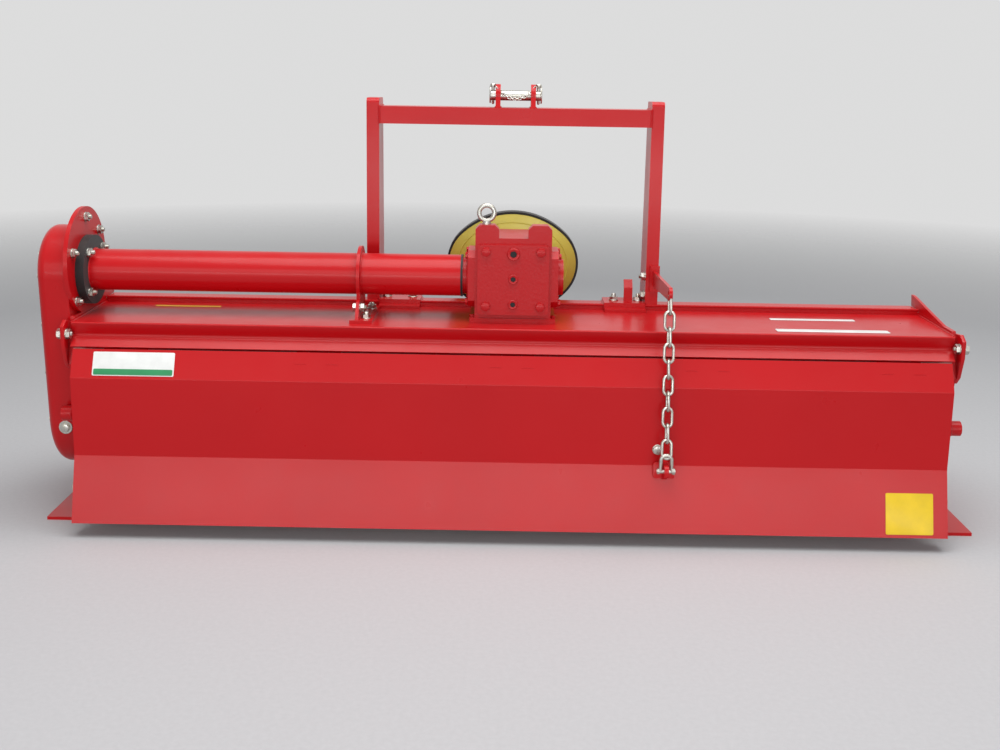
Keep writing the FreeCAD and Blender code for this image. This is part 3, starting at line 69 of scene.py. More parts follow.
class TillerFinish(bpy.types.PropertyGroup):
    """Colours and surface of the paint, plating and plastic."""

    paint: FloatVectorProperty(
        name="Paint", description="Gloss enamel on the sheet metal", subtype="COLOR",
        default=(0.48, 0.003, 0.006), min=0, max=1)
    casting: FloatVectorProperty(
        name="Casting paint", description="Enamel on the gearbox and housings", subtype="COLOR",
        default=(0.44, 0.003, 0.006), min=0, max=1)
    guard: FloatVectorProperty(
        name="Guard", description="Moulded shaft guard", subtype="COLOR",
        default=(0.56, 0.46, 0.07), min=0, max=1)
    zinc: FloatVectorProperty(
        name="Zinc", description="Plated bolts, chain and pins", subtype="COLOR",
        default=(0.46, 0.455, 0.435), min=0, max=1)
    steel: FloatVectorProperty(
        name="Steel", description="Machined shafts", subtype="COLOR",
        default=(0.50, 0.49, 0.47), min=0, max=1)
    blade: FloatVectorProperty(
        name="Blades", description="Dark lacquer on the rotor blades", subtype="COLOR",
        default=(0.022, 0.022, 0.024), min=0, max=1)
    # Black rubber; the same colour also paints the shade at the bottom of the oil plugs' sockets.
    rubber_and_socket_shade: FloatVectorProperty(
        name="Rubber", description="Ring and guard rim", subtype="COLOR",
        default=(0.012, 0.012, 0.013), min=0, max=1)
    gloss: FloatProperty(
        name="Paint roughness", description="Roughness of the enamel", subtype="FACTOR",
        default=0.30, min=0, max=1)
    peel: FloatProperty(
        name="Orange peel", description="Depth of the enamel's fine ripple", unit="LENGTH",
        default=0.00002, min=0, max=0.001, precision=6)
    dust: FloatProperty(
        name="Dust", description="Dust on surfaces that face up", subtype="FACTOR",
        default=0.03, min=0, max=1)


class TillerFasteners(bpy.types.PropertyGroup):
    """Thread sizes of the bolts and nuts, and the places of the blade bolts."""

    gear: FloatProperty(
        name="Gearbox bolts", description="Rear cover and flange bolts", unit="LENGTH",
        default=0.012, precision=4)
    foot: FloatProperty(
        name="Gearbox foot bolts", description="Small bolts of the gearbox foot and case lid",
        unit="LENGTH", default=0.0075, precision=4)
    plug: FloatProperty(
        name="Oil plugs", description="Collar radius of the upper socket plug", unit="LENGTH",
        default=0.015, precision=4)
    ring: FloatProperty(
        name="Ring studs", description="Studs of the tube's end ring and tongue plate",
        unit="LENGTH", default=0.012, precision=4)
    hinge: FloatProperty(
        name="Hinge bolts", description="Bolts of the rear corner brackets", unit="LENGTH",
        default=0.014, precision=4)
    frame: FloatProperty(
        name="Frame bolts", description="Mast, clamp and support foot bolts", unit="LENGTH",
        default=0.012, precision=4)
    skid: FloatProperty(
        name="Skid bolts", description="Bolts of the skids and bearings", unit="LENGTH",
        default=0.014, precision=4)
    blade: FloatProperty(
        name="Blade bolts", description="Two to each rotor blade", unit="LENGTH",
        default=0.012, precision=4)
    discs: IntProperty(name="Discs", description="Blade discs on the rotor", default=9, min=2)
    disc_pitch: FloatProperty(
        name="Disc pitch", description="From one blade disc to the next", unit="LENGTH",
        default=0.238, precision=4)
    blades: IntProperty(name="Blades", description="Blade places on each disc", default=6, min=2)
    stagger: FloatProperty(
        name="Stagger", description="Turn from one disc to the next", subtype="ANGLE",
        default=math.radians(20))


class TillerChain(bpy.types.PropertyGroup):
    """The tailboard's chain, the linch pins and their keeper chain."""

    wire: FloatProperty(
        name="Wire", description="Thickness of the chain's wire", unit="LENGTH",
        default=0.007, precision=4)
    width: FloatProperty(
        name="Link width", description="Width over a link", unit="LENGTH",
        default=0.028, precision=4)
    links: IntProperty(
        name="Links", description="Links from the arm to the shackle", default=10, min=2)
    top: FloatVectorProperty(
        name="Top end", description="Where the chain hangs on the arm", subtype="XYZ",
        unit="LENGTH", default=(0.360, -0.268, 0.591))
    foot: FloatVectorProperty(
        name="Lower end", description="Where the chain meets the shackle", subtype="XYZ",
        unit="LENGTH", default=(0.360, -0.317, 0.224))
    linch: FloatProperty(
        name="Linch pin", description="Thickness of a linch pin", unit="LENGTH",
        default=0.007, precision=4)
    linch_ring: FloatProperty(
        name="Linch ring", description="Radius of a linch pin's spring ring", unit="LENGTH",
        default=0.020, precision=4)
    keeper: FloatProperty(
        name="Keeper wire", description="Wire of the light chain that holds the linch pins",
        unit="LENGTH", default=0.0028, precision=4)


class TillerPlates(bpy.types.PropertyGroup):
    """The blank plates and strips stuck on the sheet metal."""

    thickness: FloatProperty(
        name="Thickness", description="Thickness of a plate", unit="LENGTH",
        default=0.0006, precision=4)
    corner: FloatProperty(
        name="Corners", description="Radius of a plate's corners", unit="LENGTH",
        default=0.003, precision=4)
    white: FloatVectorProperty(
        name="White", description="White foil", subtype="COLOR",
        default=(0.78, 0.79, 0.77), min=0, max=1)
    green: FloatVectorProperty(
        name="Green", description="Green band", subtype="COLOR",
        default=(0.03, 0.26, 0.10), min=0, max=1)
    yellow: FloatVectorProperty(
        name="Yellow", description="Yellow foil", subtype="COLOR",
        default=(0.80, 0.55, 0.02), min=0, max=1)


class TillerWelds(bpy.types.PropertyGroup):
    """Weld beads and the small welded plates."""

    bead: FloatProperty(
        name="Bead", description="Radius of a weld bead", unit="LENGTH", default=0.0035, precision=4)
    ripple: FloatProperty(
        name="Ripple", description="Depth of the bead's ripples", subtype="FACTOR",
        default=0.16, min=0, max=0.5)
    step: FloatProperty(
        name="Step", description="Length of one ripple", unit="LENGTH", default=0.005, precision=4)
    bracket: FloatProperty(
        name="Bracket", description="Thickness of the rear corner brackets", unit="LENGTH",
        default=0.009, precision=4)
    bevel: FloatProperty(
        name="Bevel", description="Bevel on cut plate edges", unit="LENGTH",
        default=0.0012, precision=4)


class TillerStage(bpy.types.PropertyGroup):
    """Camera, lamps and floor."""

    camera_place: FloatVectorProperty(
        name="Camera", description="Where the camera stands", subtype="XYZ", unit="LENGTH",
        default=(-0.020, -2.859, 1.088))
    pitch: FloatProperty(
        name="Pitch", description="Camera's tilt below the horizon", subtype="ANGLE",
        default=math.radians(9.90))
    yaw: FloatProperty(
        name="Yaw", description="Camera's turn to the right", subtype="ANGLE",
        default=math.radians(-0.24))
    roll: FloatProperty(
        name="Roll", description="Camera's roll", subtype="ANGLE", default=math.radians(0.93))
    lens: FloatProperty(
        name="Lens", description="Focal length", unit="CAMERA", default=41.4)
    shift: FloatProperty(
        name="Shift", description="Lens shift, in image widths; below zero is down", default=-0.10)
    sky: FloatProperty(
        name="Sky strength", description="Even light from all round", default=0.34, min=0)
    top_watts: FloatProperty(
        name="Top lamp", description="Soft box overhead", unit="POWER", default=145, min=0)
    back_watts: FloatProperty(
        name="Rear lamp", description="Soft box behind the camera", unit="POWER", default=78, min=0)
    strip_watts: FloatProperty(
        name="Strip lamp", description="Low strip that shines in the tailboard's lower band",
        unit="POWER", default=34, min=0)
    floor: FloatVectorProperty(
        name="Floor", description="Floor's own colour", subtype="COLOR",
        default=(0.50, 0.50, 0.51), min=0, max=1)
    floor_reach: FloatProperty(
        name="Floor reach", description="Where the floor has faded into the backdrop", unit="LENGTH",
        default=7.0)
    backdrop: FloatProperty(
        name="Backdrop", description="Brightness of the backdrop in view and in reflections",
        default=0.72, min=0, max=1)


def settings(name):
    """One of the scene's groups of sizes."""
    return getattr(bpy.context.scene, f"tiller_{name}")


# Places in mm: X from the machine's middle, positive to the right, Y forward, Z from the ground

AXLE_Y, AXLE_Z = -104, 605  # cross shaft in the drive tube
ROTOR_Y, ROTOR_Z = -40, 250
SIDE_OUTER = 1046  # outer face of a side plate
DECK_TOP, BEAM_TOP, CLAMP_TOP = 500, 512, 520
BEAM_BACK, BEAM_FRONT = 20, 80
UPRIGHT_X = 338.5  # inner face of a mast upright
CROSSBAR_LOW, MAST_TOP = 963, 1006
SUPPORT_LEFT, SUPPORT_RIGHT = -374, -366  # faces of the tube's support plate
TAIL_MIDDLE_Y = -274.8  # outer face of the tailboard between its bends
TAIL_UPPER = Vector((0, -64, 26)).normalized()  # where the tailboard's upper and lower bands face
TAIL_LOW = Vector((0, -154, 38)).normalized()

# Parts of a bolt, as shares of its thread size
WASHER_HIGH, HEAD_HIGH, HEAD_ACROSS = 0.18, 0.64, 1.6
THREAD_PITCH, THREAD_ROOT, THREAD_END = 0.16, 0.86, 0.7
# Flat top of a hexagon head, as a share of its half width, and how steeply its corners are cut
HEAD_FLAT, HEAD_CUT = 0.95, 0.5
# Outlines in shares of a part's own radius and height
WASHER = ((0, 0), (1, 0), (1, 0.7), (0.96, 1), (0, 1))
PLUG_COLLAR = ((0, 0), (1, 0), (1, 0.34), (0.9, 0.44), (0.72, 0.44))
PLUG_SOCKET, SOCKET_TOP, SOCKET_LOW = 0.52, 0.38, 0.08
# A dark disc near the socket's bottom: painted shade in the socket's recess.
SOCKET_SHADE_DISC = ((0, 0.12), (PLUG_SOCKET * 0.98, 0.12), (0, 0.14))

BEAD_UNEVEN = 0.08  # share of a weld bead's radius
SHARP_ANGLE = 32  # degrees from which an edge shows as an edge


# Geometry; every helper adds to a bmesh, in metres

def mm(*values):
    """A point given in millimetres."""
    return Vector(values) / 1000


def facing(at, axis, turn=0.0):
    """A frame at a point whose Z looks along an axis."""
    turned = axis.to_track_quat("Z", "Y").to_matrix().to_4x4()
    return Matrix.Translation(at) @ turned @ Matrix.Rotation(turn, 4, "Z")


def join_rings(bm, rings, closed=False, index=0):
    """Skins rings of vertices; a ring of one vertex closes an end."""
    pairs = list(zip(rings, rings[1:]))
    if closed:
        pairs.append((rings[-1], rings[0]))
    for low, high in pairs:
        count = max(len(low), len(high))
        for k in range(count):
            n = (k + 1) % count
            if len(low) == 1:
                corners = (low[0], high[n], high[k])
            elif len(high) == 1:
                corners = (low[k], low[n], high[0])
            else:
                corners = (low[k], low[n], high[n], high[k])
            bm.faces.new(corners).material_index = index


def lathe(bm, profile, at, steps=24, index=0):
    """Turns (radius, height) pairs about a frame's Z; a radius may follow the angle, a height the radius."""
    rings = []
    for radius, height in profile:
        if radius == 0:
            rings.append([bm.verts.new(at @ Vector((0, 0, height)))])
            continue
        ring = []
        for k in range(steps):
            angle = math.tau * k / steps
            wide = radius(angle) if callable(radius) else radius
            tall = height(wide) if callable(height) else height
            ring.append(bm.verts.new(
                at @ Vector((wide * math.cos(angle), wide * math.sin(angle), tall))))
        rings.append(ring)
    join_rings(bm, rings, index=index)


def scaled(outline, wide, high):
    """An outline in shares, brought to size."""
    return [(radius * wide, height * high) for radius, height in outline]


def hexagonal(flat):
    """A hexagon's reach at each angle; flat is from its middle to a side."""
    return lambda angle: flat / math.cos(angle % (math.pi / 3) - math.pi / 6)


def hexagon(bm, across, base, top, at):
    """A hexagon head with its corners chamfered off in a cone."""
    flat = across / 2
    face = flat * HEAD_FLAT
    reach = hexagonal(flat)
    lathe(bm, (
        (0, base), (reach, base), (reach, lambda r: top - (r - face) * HEAD_CUT), (face, top), (0, top),
    ), at)


def bolt(bm, at, axis, size, stud=0.0, washer=1.0):
    """A hexagon head on its washer, or a nut with the stud's threaded end."""
    place = facing(at, axis, random.uniform(0, math.pi / 3))
    under = WASHER_HIGH * size if washer else 0.0
    if washer:
        lathe(bm, scaled(WASHER, washer * size, under), place)
    top = under + HEAD_HIGH * size
    hexagon(bm, HEAD_ACROSS * size, under, top, place)
    if stud:
        crest, pitch = size / 2, THREAD_PITCH * size
        root = crest * THREAD_ROOT
        profile = [(0, top - pitch), (root, top - pitch)]
        height = top
        while height < top + stud:
            profile += [(crest, height), (root, height + pitch / 2)]
            height += pitch
        lathe(bm, (*profile, (crest * THREAD_END, height), (0, height)), place, steps=16)


def socket_plug(bm, at, axis, radius):
    """A round collar with a hexagon socket; a disc in the piece's second, dark material lies near the
    socket's bottom as painted shade.
    """
    place = facing(at, axis, random.uniform(0, 1))
    socket = hexagonal(radius * PLUG_SOCKET)
    lathe(bm, (
        *scaled(PLUG_COLLAR, radius, radius),
        (socket, radius * SOCKET_TOP), (socket, radius * SOCKET_LOW), (0, radius * 0.05),
    ), place)
    # painted shade: the dark disc deep in the socket
    lathe(bm, scaled(SOCKET_SHADE_DISC, radius, radius), place, index=1)


def tube(bm, path, radius, steps=10, closed=False):
    """A round bar along a path; the radius is one number or one for each point."""
    rings = []
    up = None
    count = len(path)
    for k, spot in enumerate(path):
        ahead = path[(k + 1) % count] if closed or k + 1 < count else spot
        behind = path[k - 1] if closed or k else spot
        along = (ahead - behind).normalized()
        up = along.orthogonal() if up is None else up - along * up.dot(along)
        up = up.normalized()
        side = along.cross(up)
        thick = radius[k] if isinstance(radius, list) else radius
        rings.append([
            bm.verts.new(spot + (up * math.cos(a) + side * math.sin(a)) * thick)
            for a in (math.tau * n / steps for n in range(steps))])
    if not closed:
        rings = [[bm.verts.new(path[0])], *rings, [bm.verts.new(path[-1])]]
    join_rings(bm, rings, closed)


def slab(bm, outline, thickness, at, bevel):
    """A plate: its outline in the frame's XY, its thickness along Z, both rims bevelled."""
    low = [bm.verts.new(at @ Vector((x, y, 0))) for x, y in outline]
    high = [bm.verts.new(at @ Vector((x, y, thickness))) for x, y in outline]
    rims = [edge for face in (bm.faces.new(high), bm.faces.new(reversed(low))) for edge in face.edges]
    for k in range(len(low)):
        n = (k + 1) % len(low)
        bm.faces.new((low[k], low[n], high[n], high[k]))
    bmesh.ops.bevel(bm, geom=rims, offset=bevel, segments=2, profile=0.5, affect="EDGES")


def rounded_box(wide, high, radius, steps=5):
    """The outline of a rectangle with round corners, about its middle."""
    points = []
    for quarter, (x, y) in enumerate(((1, 1), (-1, 1), (-1, -1), (1, -1))):
        centre = Vector((x * (wide / 2 - radius), y * (high / 2 - radius)))
        for k in range(steps + 1):
            angle = math.pi / 2 * (quarter + k / steps)
            points.append((centre.x + radius * math.cos(angle), centre.y + radius * math.sin(angle)))
    return points


def circle(centre, axis, radius, count):
    """Points round an axis."""
    place = facing(centre, axis)
    return [
        place @ Vector((radius * math.cos(a), radius * math.sin(a), 0))
        for a in (math.tau * k / count for k in range(count))]


def weld(bm, corners, closed=False):
    """A rippled bead along straight runs between corners, a little uneven from ripple to ripple."""
    sizes = settings("welds")
    ends = corners[1:] + corners[:1] if closed else corners[1:]
    path = []
    for start, end in zip(corners, ends):
        count = max(1, round((end - start).length / sizes.step))
        path += [start.lerp(end, k / count) for k in range(count)]
    if not closed:
        path.append(corners[-1])
    radii = [
        sizes.bead * (1 - sizes.ripple * (k % 2) - random.uniform(0, BEAD_UNEVEN))
        for k in range(len(path))]
    tube(bm, path, radii, steps=8, closed=closed)


def piece(name, bm, keys, body="root", replaces=()):
    """Makes a named piece of the object that moves with a body."""
    bmesh.ops.recalc_face_normals(bm, faces=bm.faces)
    mesh = bpy.data.meshes.new(name)
    bm.to_mesh(mesh)
    bm.free()
    mesh.shade_smooth()
    mesh.set_sharp_from_angle(angle=math.radians(SHARP_ANGLE))
    for key in keys:
        mesh.materials.append(MATERIALS[key])
    obj = bpy.data.objects.new(name, mesh)
    bpy.context.scene.collection.objects.link(obj)
    if replaces:
        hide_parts(*replaces)
    if body:
        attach(obj, body)
    return obj


# Materials

DUST = (0.42, 0.38, 0.33)
MIX_FACTOR, MIX_FIRST, MIX_SECOND, MIX_RESULT = 0, 6, 7, 2  # sockets of a colour mix


def shade(colour, factor):
    """A colour made darker or lighter."""
    return tuple(min(1, c * factor) for c in colour)


class Finish:
    """A material in the making: its shader, its coordinates and helpers that add its nodes."""

    def __init__(self, name):
        self.material = bpy.data.materials.new(name)
        self.material.use_nodes = True
        self.tree = self.material.node_tree
        self.shader = self.tree.nodes["Principled BSDF"]
        self.coords = self.add("ShaderNodeTexCoord").outputs["Object"]

    def add(self, kind, **values):
        """A new node with values for its sockets and its settings."""
        node = self.tree.nodes.new(kind)
        for key, value in values.items():
            if key in node.inputs:
                node.inputs[key].default_value = value
            else:
                setattr(node, key, value)
        return node

    def link(self, source, socket):
        self.tree.links.new(source, socket)

    def drive(self, name, source):
        """Lets a texture set one of the shader's sockets."""
        self.link(source, self.shader.inputs[name])

    def fix(self, name, value):
        """Sets one of the shader's sockets for the whole surface."""
        self.shader.inputs[name].default_value = value

    def noise(self, scale, detail, rough):
        """Cloudy noise, fixed to the piece."""
        node = self.add("ShaderNodeTexNoise", Scale=scale, Detail=detail, Roughness=rough)
        self.link(self.coords, node.inputs["Vector"])
        return node.outputs["Fac"]

    def spread(self, source, low=0.0, high=1.0, from_low=0.3, from_high=0.7):
        """Maps a texture's value onto low..high."""
        node = self.add("ShaderNodeMapRange")
        for name, value in (
            ("From Min", from_low), ("From Max", from_high), ("To Min", low), ("To Max", high),
        ):
            node.inputs[name].default_value = value
        self.link(source, node.inputs["Value"])
        return node.outputs["Result"]

    def blend(self, factor, first, second):
        """Mixes two colours; each is a plain colour or another node's output."""
        node = self.add("ShaderNodeMix", data_type="RGBA")
        for socket, value in ((node.inputs[MIX_FIRST], first), (node.inputs[MIX_SECOND], second)):
            if isinstance(value, bpy.types.NodeSocket):
                self.link(value, socket)
            else:
                socket.default_value = (*value, 1)
        self.link(factor, node.inputs[MIX_FACTOR])
        return node.outputs[MIX_RESULT]

    def bumps(self, *layers):
        """Stacks bumps: each layer is a height output and its depth in metres."""
        last = None
        for height, depth in layers:
            node = self.add("ShaderNodeBump", Strength=1.0, Distance=depth)
            self.link(height, node.inputs["Height"])
            if last:
                self.link(last.outputs["Normal"], node.inputs["Normal"])
            last = node
        self.drive("Normal", last.outputs["Normal"])

    def dusted(self, colour, amount):
        """Adds pale dust, in patches, where the surface faces up."""
        geometry = self.add("ShaderNodeNewGeometry")
        split = self.add("ShaderNodeSeparateXYZ")
        self.link(geometry.outputs["Normal"], split.inputs[0])
        up = self.spread(split.outputs["Z"], from_low=0.2, from_high=0.95)
        clouds = self.noise(scale=14, detail=6, rough=0.6)
        patches = self.spread(clouds, high=amount, from_low=0.35, from_high=0.75)
        both = self.add("ShaderNodeMath", operation="MULTIPLY")
        self.link(up, both.inputs[0])
        self.link(patches, both.inputs[1])
        return self.blend(both.outputs[0], colour, DUST)


def enamel(name, colour, rough, peel, wave=0.0006, grain=None):
    """Gloss paint: faint mottling, orange peel, slow waves of sheet metal, a little dust."""
    paint = Finish(name)
    mottle = paint.spread(paint.noise(scale=3, detail=1.5, rough=0.4), from_low=0.2, from_high=0.8)
    tone = paint.blend(mottle, shade(colour, 0.94), shade(colour, 1.06))
    paint.drive("Base Color", paint.dusted(tone, settings("finish").dust))
    smudge = paint.noise(scale=16, detail=3, rough=0.5)
    paint.drive("Roughness", paint.spread(
        smudge, low=rough * 0.85, high=rough * 1.2, from_low=0.15, from_high=0.85))
    layers = [(paint.noise(scale=3.2, detail=2, rough=0.4), wave)] if wave else []
    layers.append((paint.noise(scale=130, detail=2, rough=0.5), peel))
    if grain:
        scale, depth = grain
        layers.append((paint.noise(scale, detail=4, rough=0.6), depth))
    paint.bumps(*layers)
    paint.fix("Specular IOR Level", 0.22)
    paint.fix("Coat Weight", 0.12)
    paint.fix("Coat Roughness", 0.12)
    return paint.material


def plated(name, colour):
    """Zinc plate: bright, mottled, with a trace of yellow and blue."""
    zinc = Finish(name)
    tint = zinc.spread(zinc.noise(scale=160, detail=3, rough=0.6), from_low=0.35, from_high=0.65)
    warm, cool = (colour[0], colour[1] * 0.97, colour[2] * 0.86), shade(colour, 1.12)
    zinc.drive("Base Color", zinc.blend(tint, warm, cool))
    zinc.drive("Roughness", zinc.spread(zinc.noise(scale=70, detail=5, rough=0.7), low=0.22, high=0.46))
    zinc.bumps((zinc.noise(scale=900, detail=2, rough=0.5), 0.00003))
    zinc.fix("Metallic", 1.0)
    return zinc.material


def turned_steel(name, colour):
    """Machined steel with fine turning marks and an oily film."""
    steel = Finish(name)
    marks = steel.add(
        "ShaderNodeTexWave", Scale=180, Distortion=0.6, Detail=2.0, bands_direction="Y")
    steel.link(steel.coords, marks.inputs["Vector"])
    film = steel.spread(steel.noise(scale=40, detail=4, rough=0.6))
    steel.drive("Base Color", steel.blend(film, shade(colour, 0.8), colour))
    steel.drive("Roughness", steel.spread(film, low=0.2, high=0.38, from_low=0, from_high=1))
    steel.bumps((marks.outputs["Fac"], 0.00004))
    steel.fix("Metallic", 1.0)
    return steel.material


def lacquer(name, colour):
    """Dark dip lacquer on forged blades: runs, scale and dull patches."""
    dark = Finish(name)
    scale = dark.spread(dark.noise(scale=45, detail=7, rough=0.7))
    tone = dark.blend(scale, colour, shade(colour, 2.1))
    dark.drive("Base Color", dark.dusted(tone, 0.12))
    dark.drive("Roughness", dark.spread(scale, low=0.34, high=0.58, from_low=0, from_high=1))
    dark.bumps((dark.noise(scale=240, detail=5, rough=0.65), 0.00025))
    return dark.material


def moulded(name, colour, rough, grain_scale, grain_depth, sheen=0.0):
    """Moulded plastic, rubber or foil: fine grain and a soft, uneven surface."""
    skin = Finish(name)
    patch = skin.spread(skin.noise(scale=18, detail=4, rough=0.6))
    tone = skin.blend(patch, shade(colour, 0.9), shade(colour, 1.08))
    skin.drive("Base Color", skin.dusted(tone, 0.14))
    skin.drive("Roughness", skin.spread(
        patch, low=rough * 0.9, high=rough * 1.15, from_low=0, from_high=1))
    skin.bumps((skin.noise(grain_scale, detail=3, rough=0.6), grain_depth))
    skin.fix("Specular IOR Level", 0.3)
    skin.fix("Sheen Weight", sheen)
    return skin.material


MATERIALS = {}
NODE_FINISHES = {
    "casting": ("gearbox", "gearbox_cover", "bearing_left", "bearing_right"),
    "zinc": (
        "lifting_eye", "top_link_pin", "shackle", "hinge_rod", "hitch_pin_left", "hitch_pin_right", "chain"),
    "steel": ("input_shaft",),
    "blade": ("rotor_blades",),
    "guard": ("guard_cone",),
    "rubber_and_socket_shade": ("guard_rim", "case_ring"),
}  # every other node is painted


def dress(node, key):
    """Gives a CAD node its finish."""
    obj = frame["nodes"][node]
    if not obj.material_slots:
        obj.data.materials.append(MATERIALS[key])
    for slot in obj.material_slots:
        slot.material = MATERIALS[key]


class TILLER_OT_finishes(bpy.types.Operator):
    """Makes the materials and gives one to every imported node"""

    bl_idname = "tiller.finishes"
    bl_label = "Finishes"

    def execute(self, context):
        look, plates = settings("finish"), settings("plates")
        MATERIALS["paint"] = enamel("red_enamel", look.paint, look.gloss, look.peel)
        MATERIALS["casting"] = enamel(
            "red_casting", look.casting, look.gloss * 1.1, look.peel, wave=0, grain=(150, 0.0006))
        MATERIALS["zinc"] = plated("zinc_plate", look.zinc)
        MATERIALS["steel"] = turned_steel("turned_steel", look.steel)
        MATERIALS["blade"] = lacquer("blade_lacquer", look.blade)
        MATERIALS["guard"] = moulded(
            "guard_plastic", look.guard, rough=0.38, grain_scale=420, grain_depth=0.00006)
        # Black rubber, also the painted shade at the bottom of the plugs' sockets
        MATERIALS["rubber_and_socket_shade"] = moulded(
            "black_rubber", look.rubber_and_socket_shade, rough=0.55, grain_scale=600, grain_depth=0.00008, sheen=0.1)
        for name in ("white", "green", "yellow"):
            MATERIALS[name] = moulded(
                f"{name}_foil", getattr(plates, name), rough=0.32, grain_scale=300, grain_depth=0.00001)
        for node in frame["nodes"]:
            dress(node, "paint")
        for key, nodes in NODE_FINISHES.items():
            for node in nodes:
                dress(node, key)
        return {"FINISHED"}


# The gearbox's fasteners, in mm

COVER_BOLTS = ((-65, 674), (-65, 543), (65, 674), (65, 543))  # X and Z
COVER_PLUGS = ((669, 1), (609, 0.76), (548, 0.76))  # Z, and its share of the largest plug
FLANGE_FACE, FLANGE_BOLT_Y, FLANGE_BOLT_Z = 109, 42, 56  # Y and Z from the cross shaft
FLANGE_BOLT = 0.75  # share of the cover bolts' size
FOOT_BOLT_X, FOOT_BOLT_YS, FOOT_TOP = 97.3, (-140, -8), 512
GASKET_X = -126
VENT = (63, -98, 705)

# Hexagons of the small fittings in metres: across the flats, base and top

VENT_HEXAGON = (0.019, 0, 0.006)
DRAIN_HEXAGON = (0.019, 0.002, 0.010)
GREASE_HEXAGON = (0.009, 0, 0.004)

# Outlines of turned parts: radius and height, in metres

GASKET = ((0.049, 0), (0.0512, 0), (0.0512, 0.005), (0.049, 0.005))
VENT_CAP = ((0, 0.006), (0.0075, 0.006), (0.0075, 0.014), (0.005, 0.018), (0, 0.0185))
DRAIN_COLLAR = ((0, -0.002), (0.0165, -0.002), (0.0165, 0.0015), (0.0158, 0.002), (0, 0.002))
BEARING_CAP = (
    (0, 0), (0.046, 0), (0.046, 0.008), (0.042, 0.012), (0.024, 0.014), (0.022, 0.012), (0, 0.012))
GREASE_STEM = (
    (0, 0.004), (0.0028, 0.004), (0.0022, 0.008), (0.0034, 0.010), (0.0026, 0.013), (0, 0.0135))


class TILLER_OT_gearbox_bolts(bpy.types.Operator):
    """Makes the gearbox's cover bolts, oil plugs, flange bolts, foot bolts, gasket and vent"""

    bl_idname = "tiller.gearbox_bolts"
    bl_label = "Gearbox bolts"

    def execute(self, context):
        sizes = settings("fasteners")
        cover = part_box("gearbox_cover")[0].y * 1000
        bm = bmesh.new()
        for x, z in COVER_BOLTS:
            bolt(bm, mm(x, cover, z), -Y, sizes.gear, washer=0.95)
        for z, share in COVER_PLUGS:
            socket_plug(bm, mm(0, cover, z), -Y, sizes.plug * share)
        # The plugs' second material, black rubber, paints shade at the bottom of their sockets.
        piece("cover_bolts", bm, ("casting", "rubber_and_socket_shade"))

        bm = bmesh.new()
        for _, side in SIDES:
            for y in (-FLANGE_BOLT_Y, FLANGE_BOLT_Y):
                for z in (-FLANGE_BOLT_Z, FLANGE_BOLT_Z):
                    bolt(bm, mm(side * FLANGE_FACE, AXLE_Y + y, AXLE_Z + z), X * side,
                         sizes.gear * FLANGE_BOLT, washer=0)
            for y in FOOT_BOLT_YS:
                bolt(bm, mm(side * FOOT_BOLT_X, y, FOOT_TOP), Z, sizes.foot, washer=0)
        piece("flange_bolts", bm, ("casting",))

        bm = bmesh.new()
        lathe(bm, GASKET, facing(mm(GASKET_X, AXLE_Y, AXLE_Z), X), steps=64)
        piece("tube_gasket", bm, ("rubber_and_socket_shade",))

        bm = bmesh.new()
        vent = facing(mm(*VENT), Z)
        hexagon(bm, *VENT_HEXAGON, vent)
        lathe(bm, VENT_CAP, vent)
        piece("vent_plug", bm, ("zinc",))
        return {"FINISHED"}


# The side drive case's fasteners, in mm

RING_BOLT_CIRCLE = 68
TONGUE_BOLTS = ((-104, 733), (-20, 691), (-199, 658), (-184, 540))  # Y and Z
CASE_TOP_RADIUS, CASE_LOW_RADIUS, LID_BOLT_INSET = 108, 146, 34
LID_PLUGS = ((-102, 210, 0.012), (-86, 655, 0.014))  # Y, Z and the collar's radius in metres
DRAIN_PLUG = (-1077, -184.5, 229)


def lid_bolt_places():
    """Y and Z of the bolts inside the side case's outline: two arcs and the straight edges between."""
    top, low = Vector((AXLE_Y, AXLE_Z)), Vector((ROTOR_Y, ROTOR_Z))
    high, wide = CASE_TOP_RADIUS - LID_BOLT_INSET, CASE_LOW_RADIUS - LID_BOLT_INSET
    between = top - low
    lean = math.atan2(between.y, between.x)
    touch = math.acos((wide - high) / between.length)
    front, rear = lean - touch, lean + touch

    def on(centre, radius, angle):
        return centre + Vector((math.cos(angle), math.sin(angle))) * radius

    places = [on(top, high, front + (rear - front) * k / 4) for k in range(1, 4)]
    places += [on(low, wide, rear + (math.tau + front - rear) * k / 4) for k in range(1, 4)]
    for angle in (front, rear):
        places += [on(top, high, angle).lerp(on(low, wide, angle), k / 3) for k in range(4)]
    return places


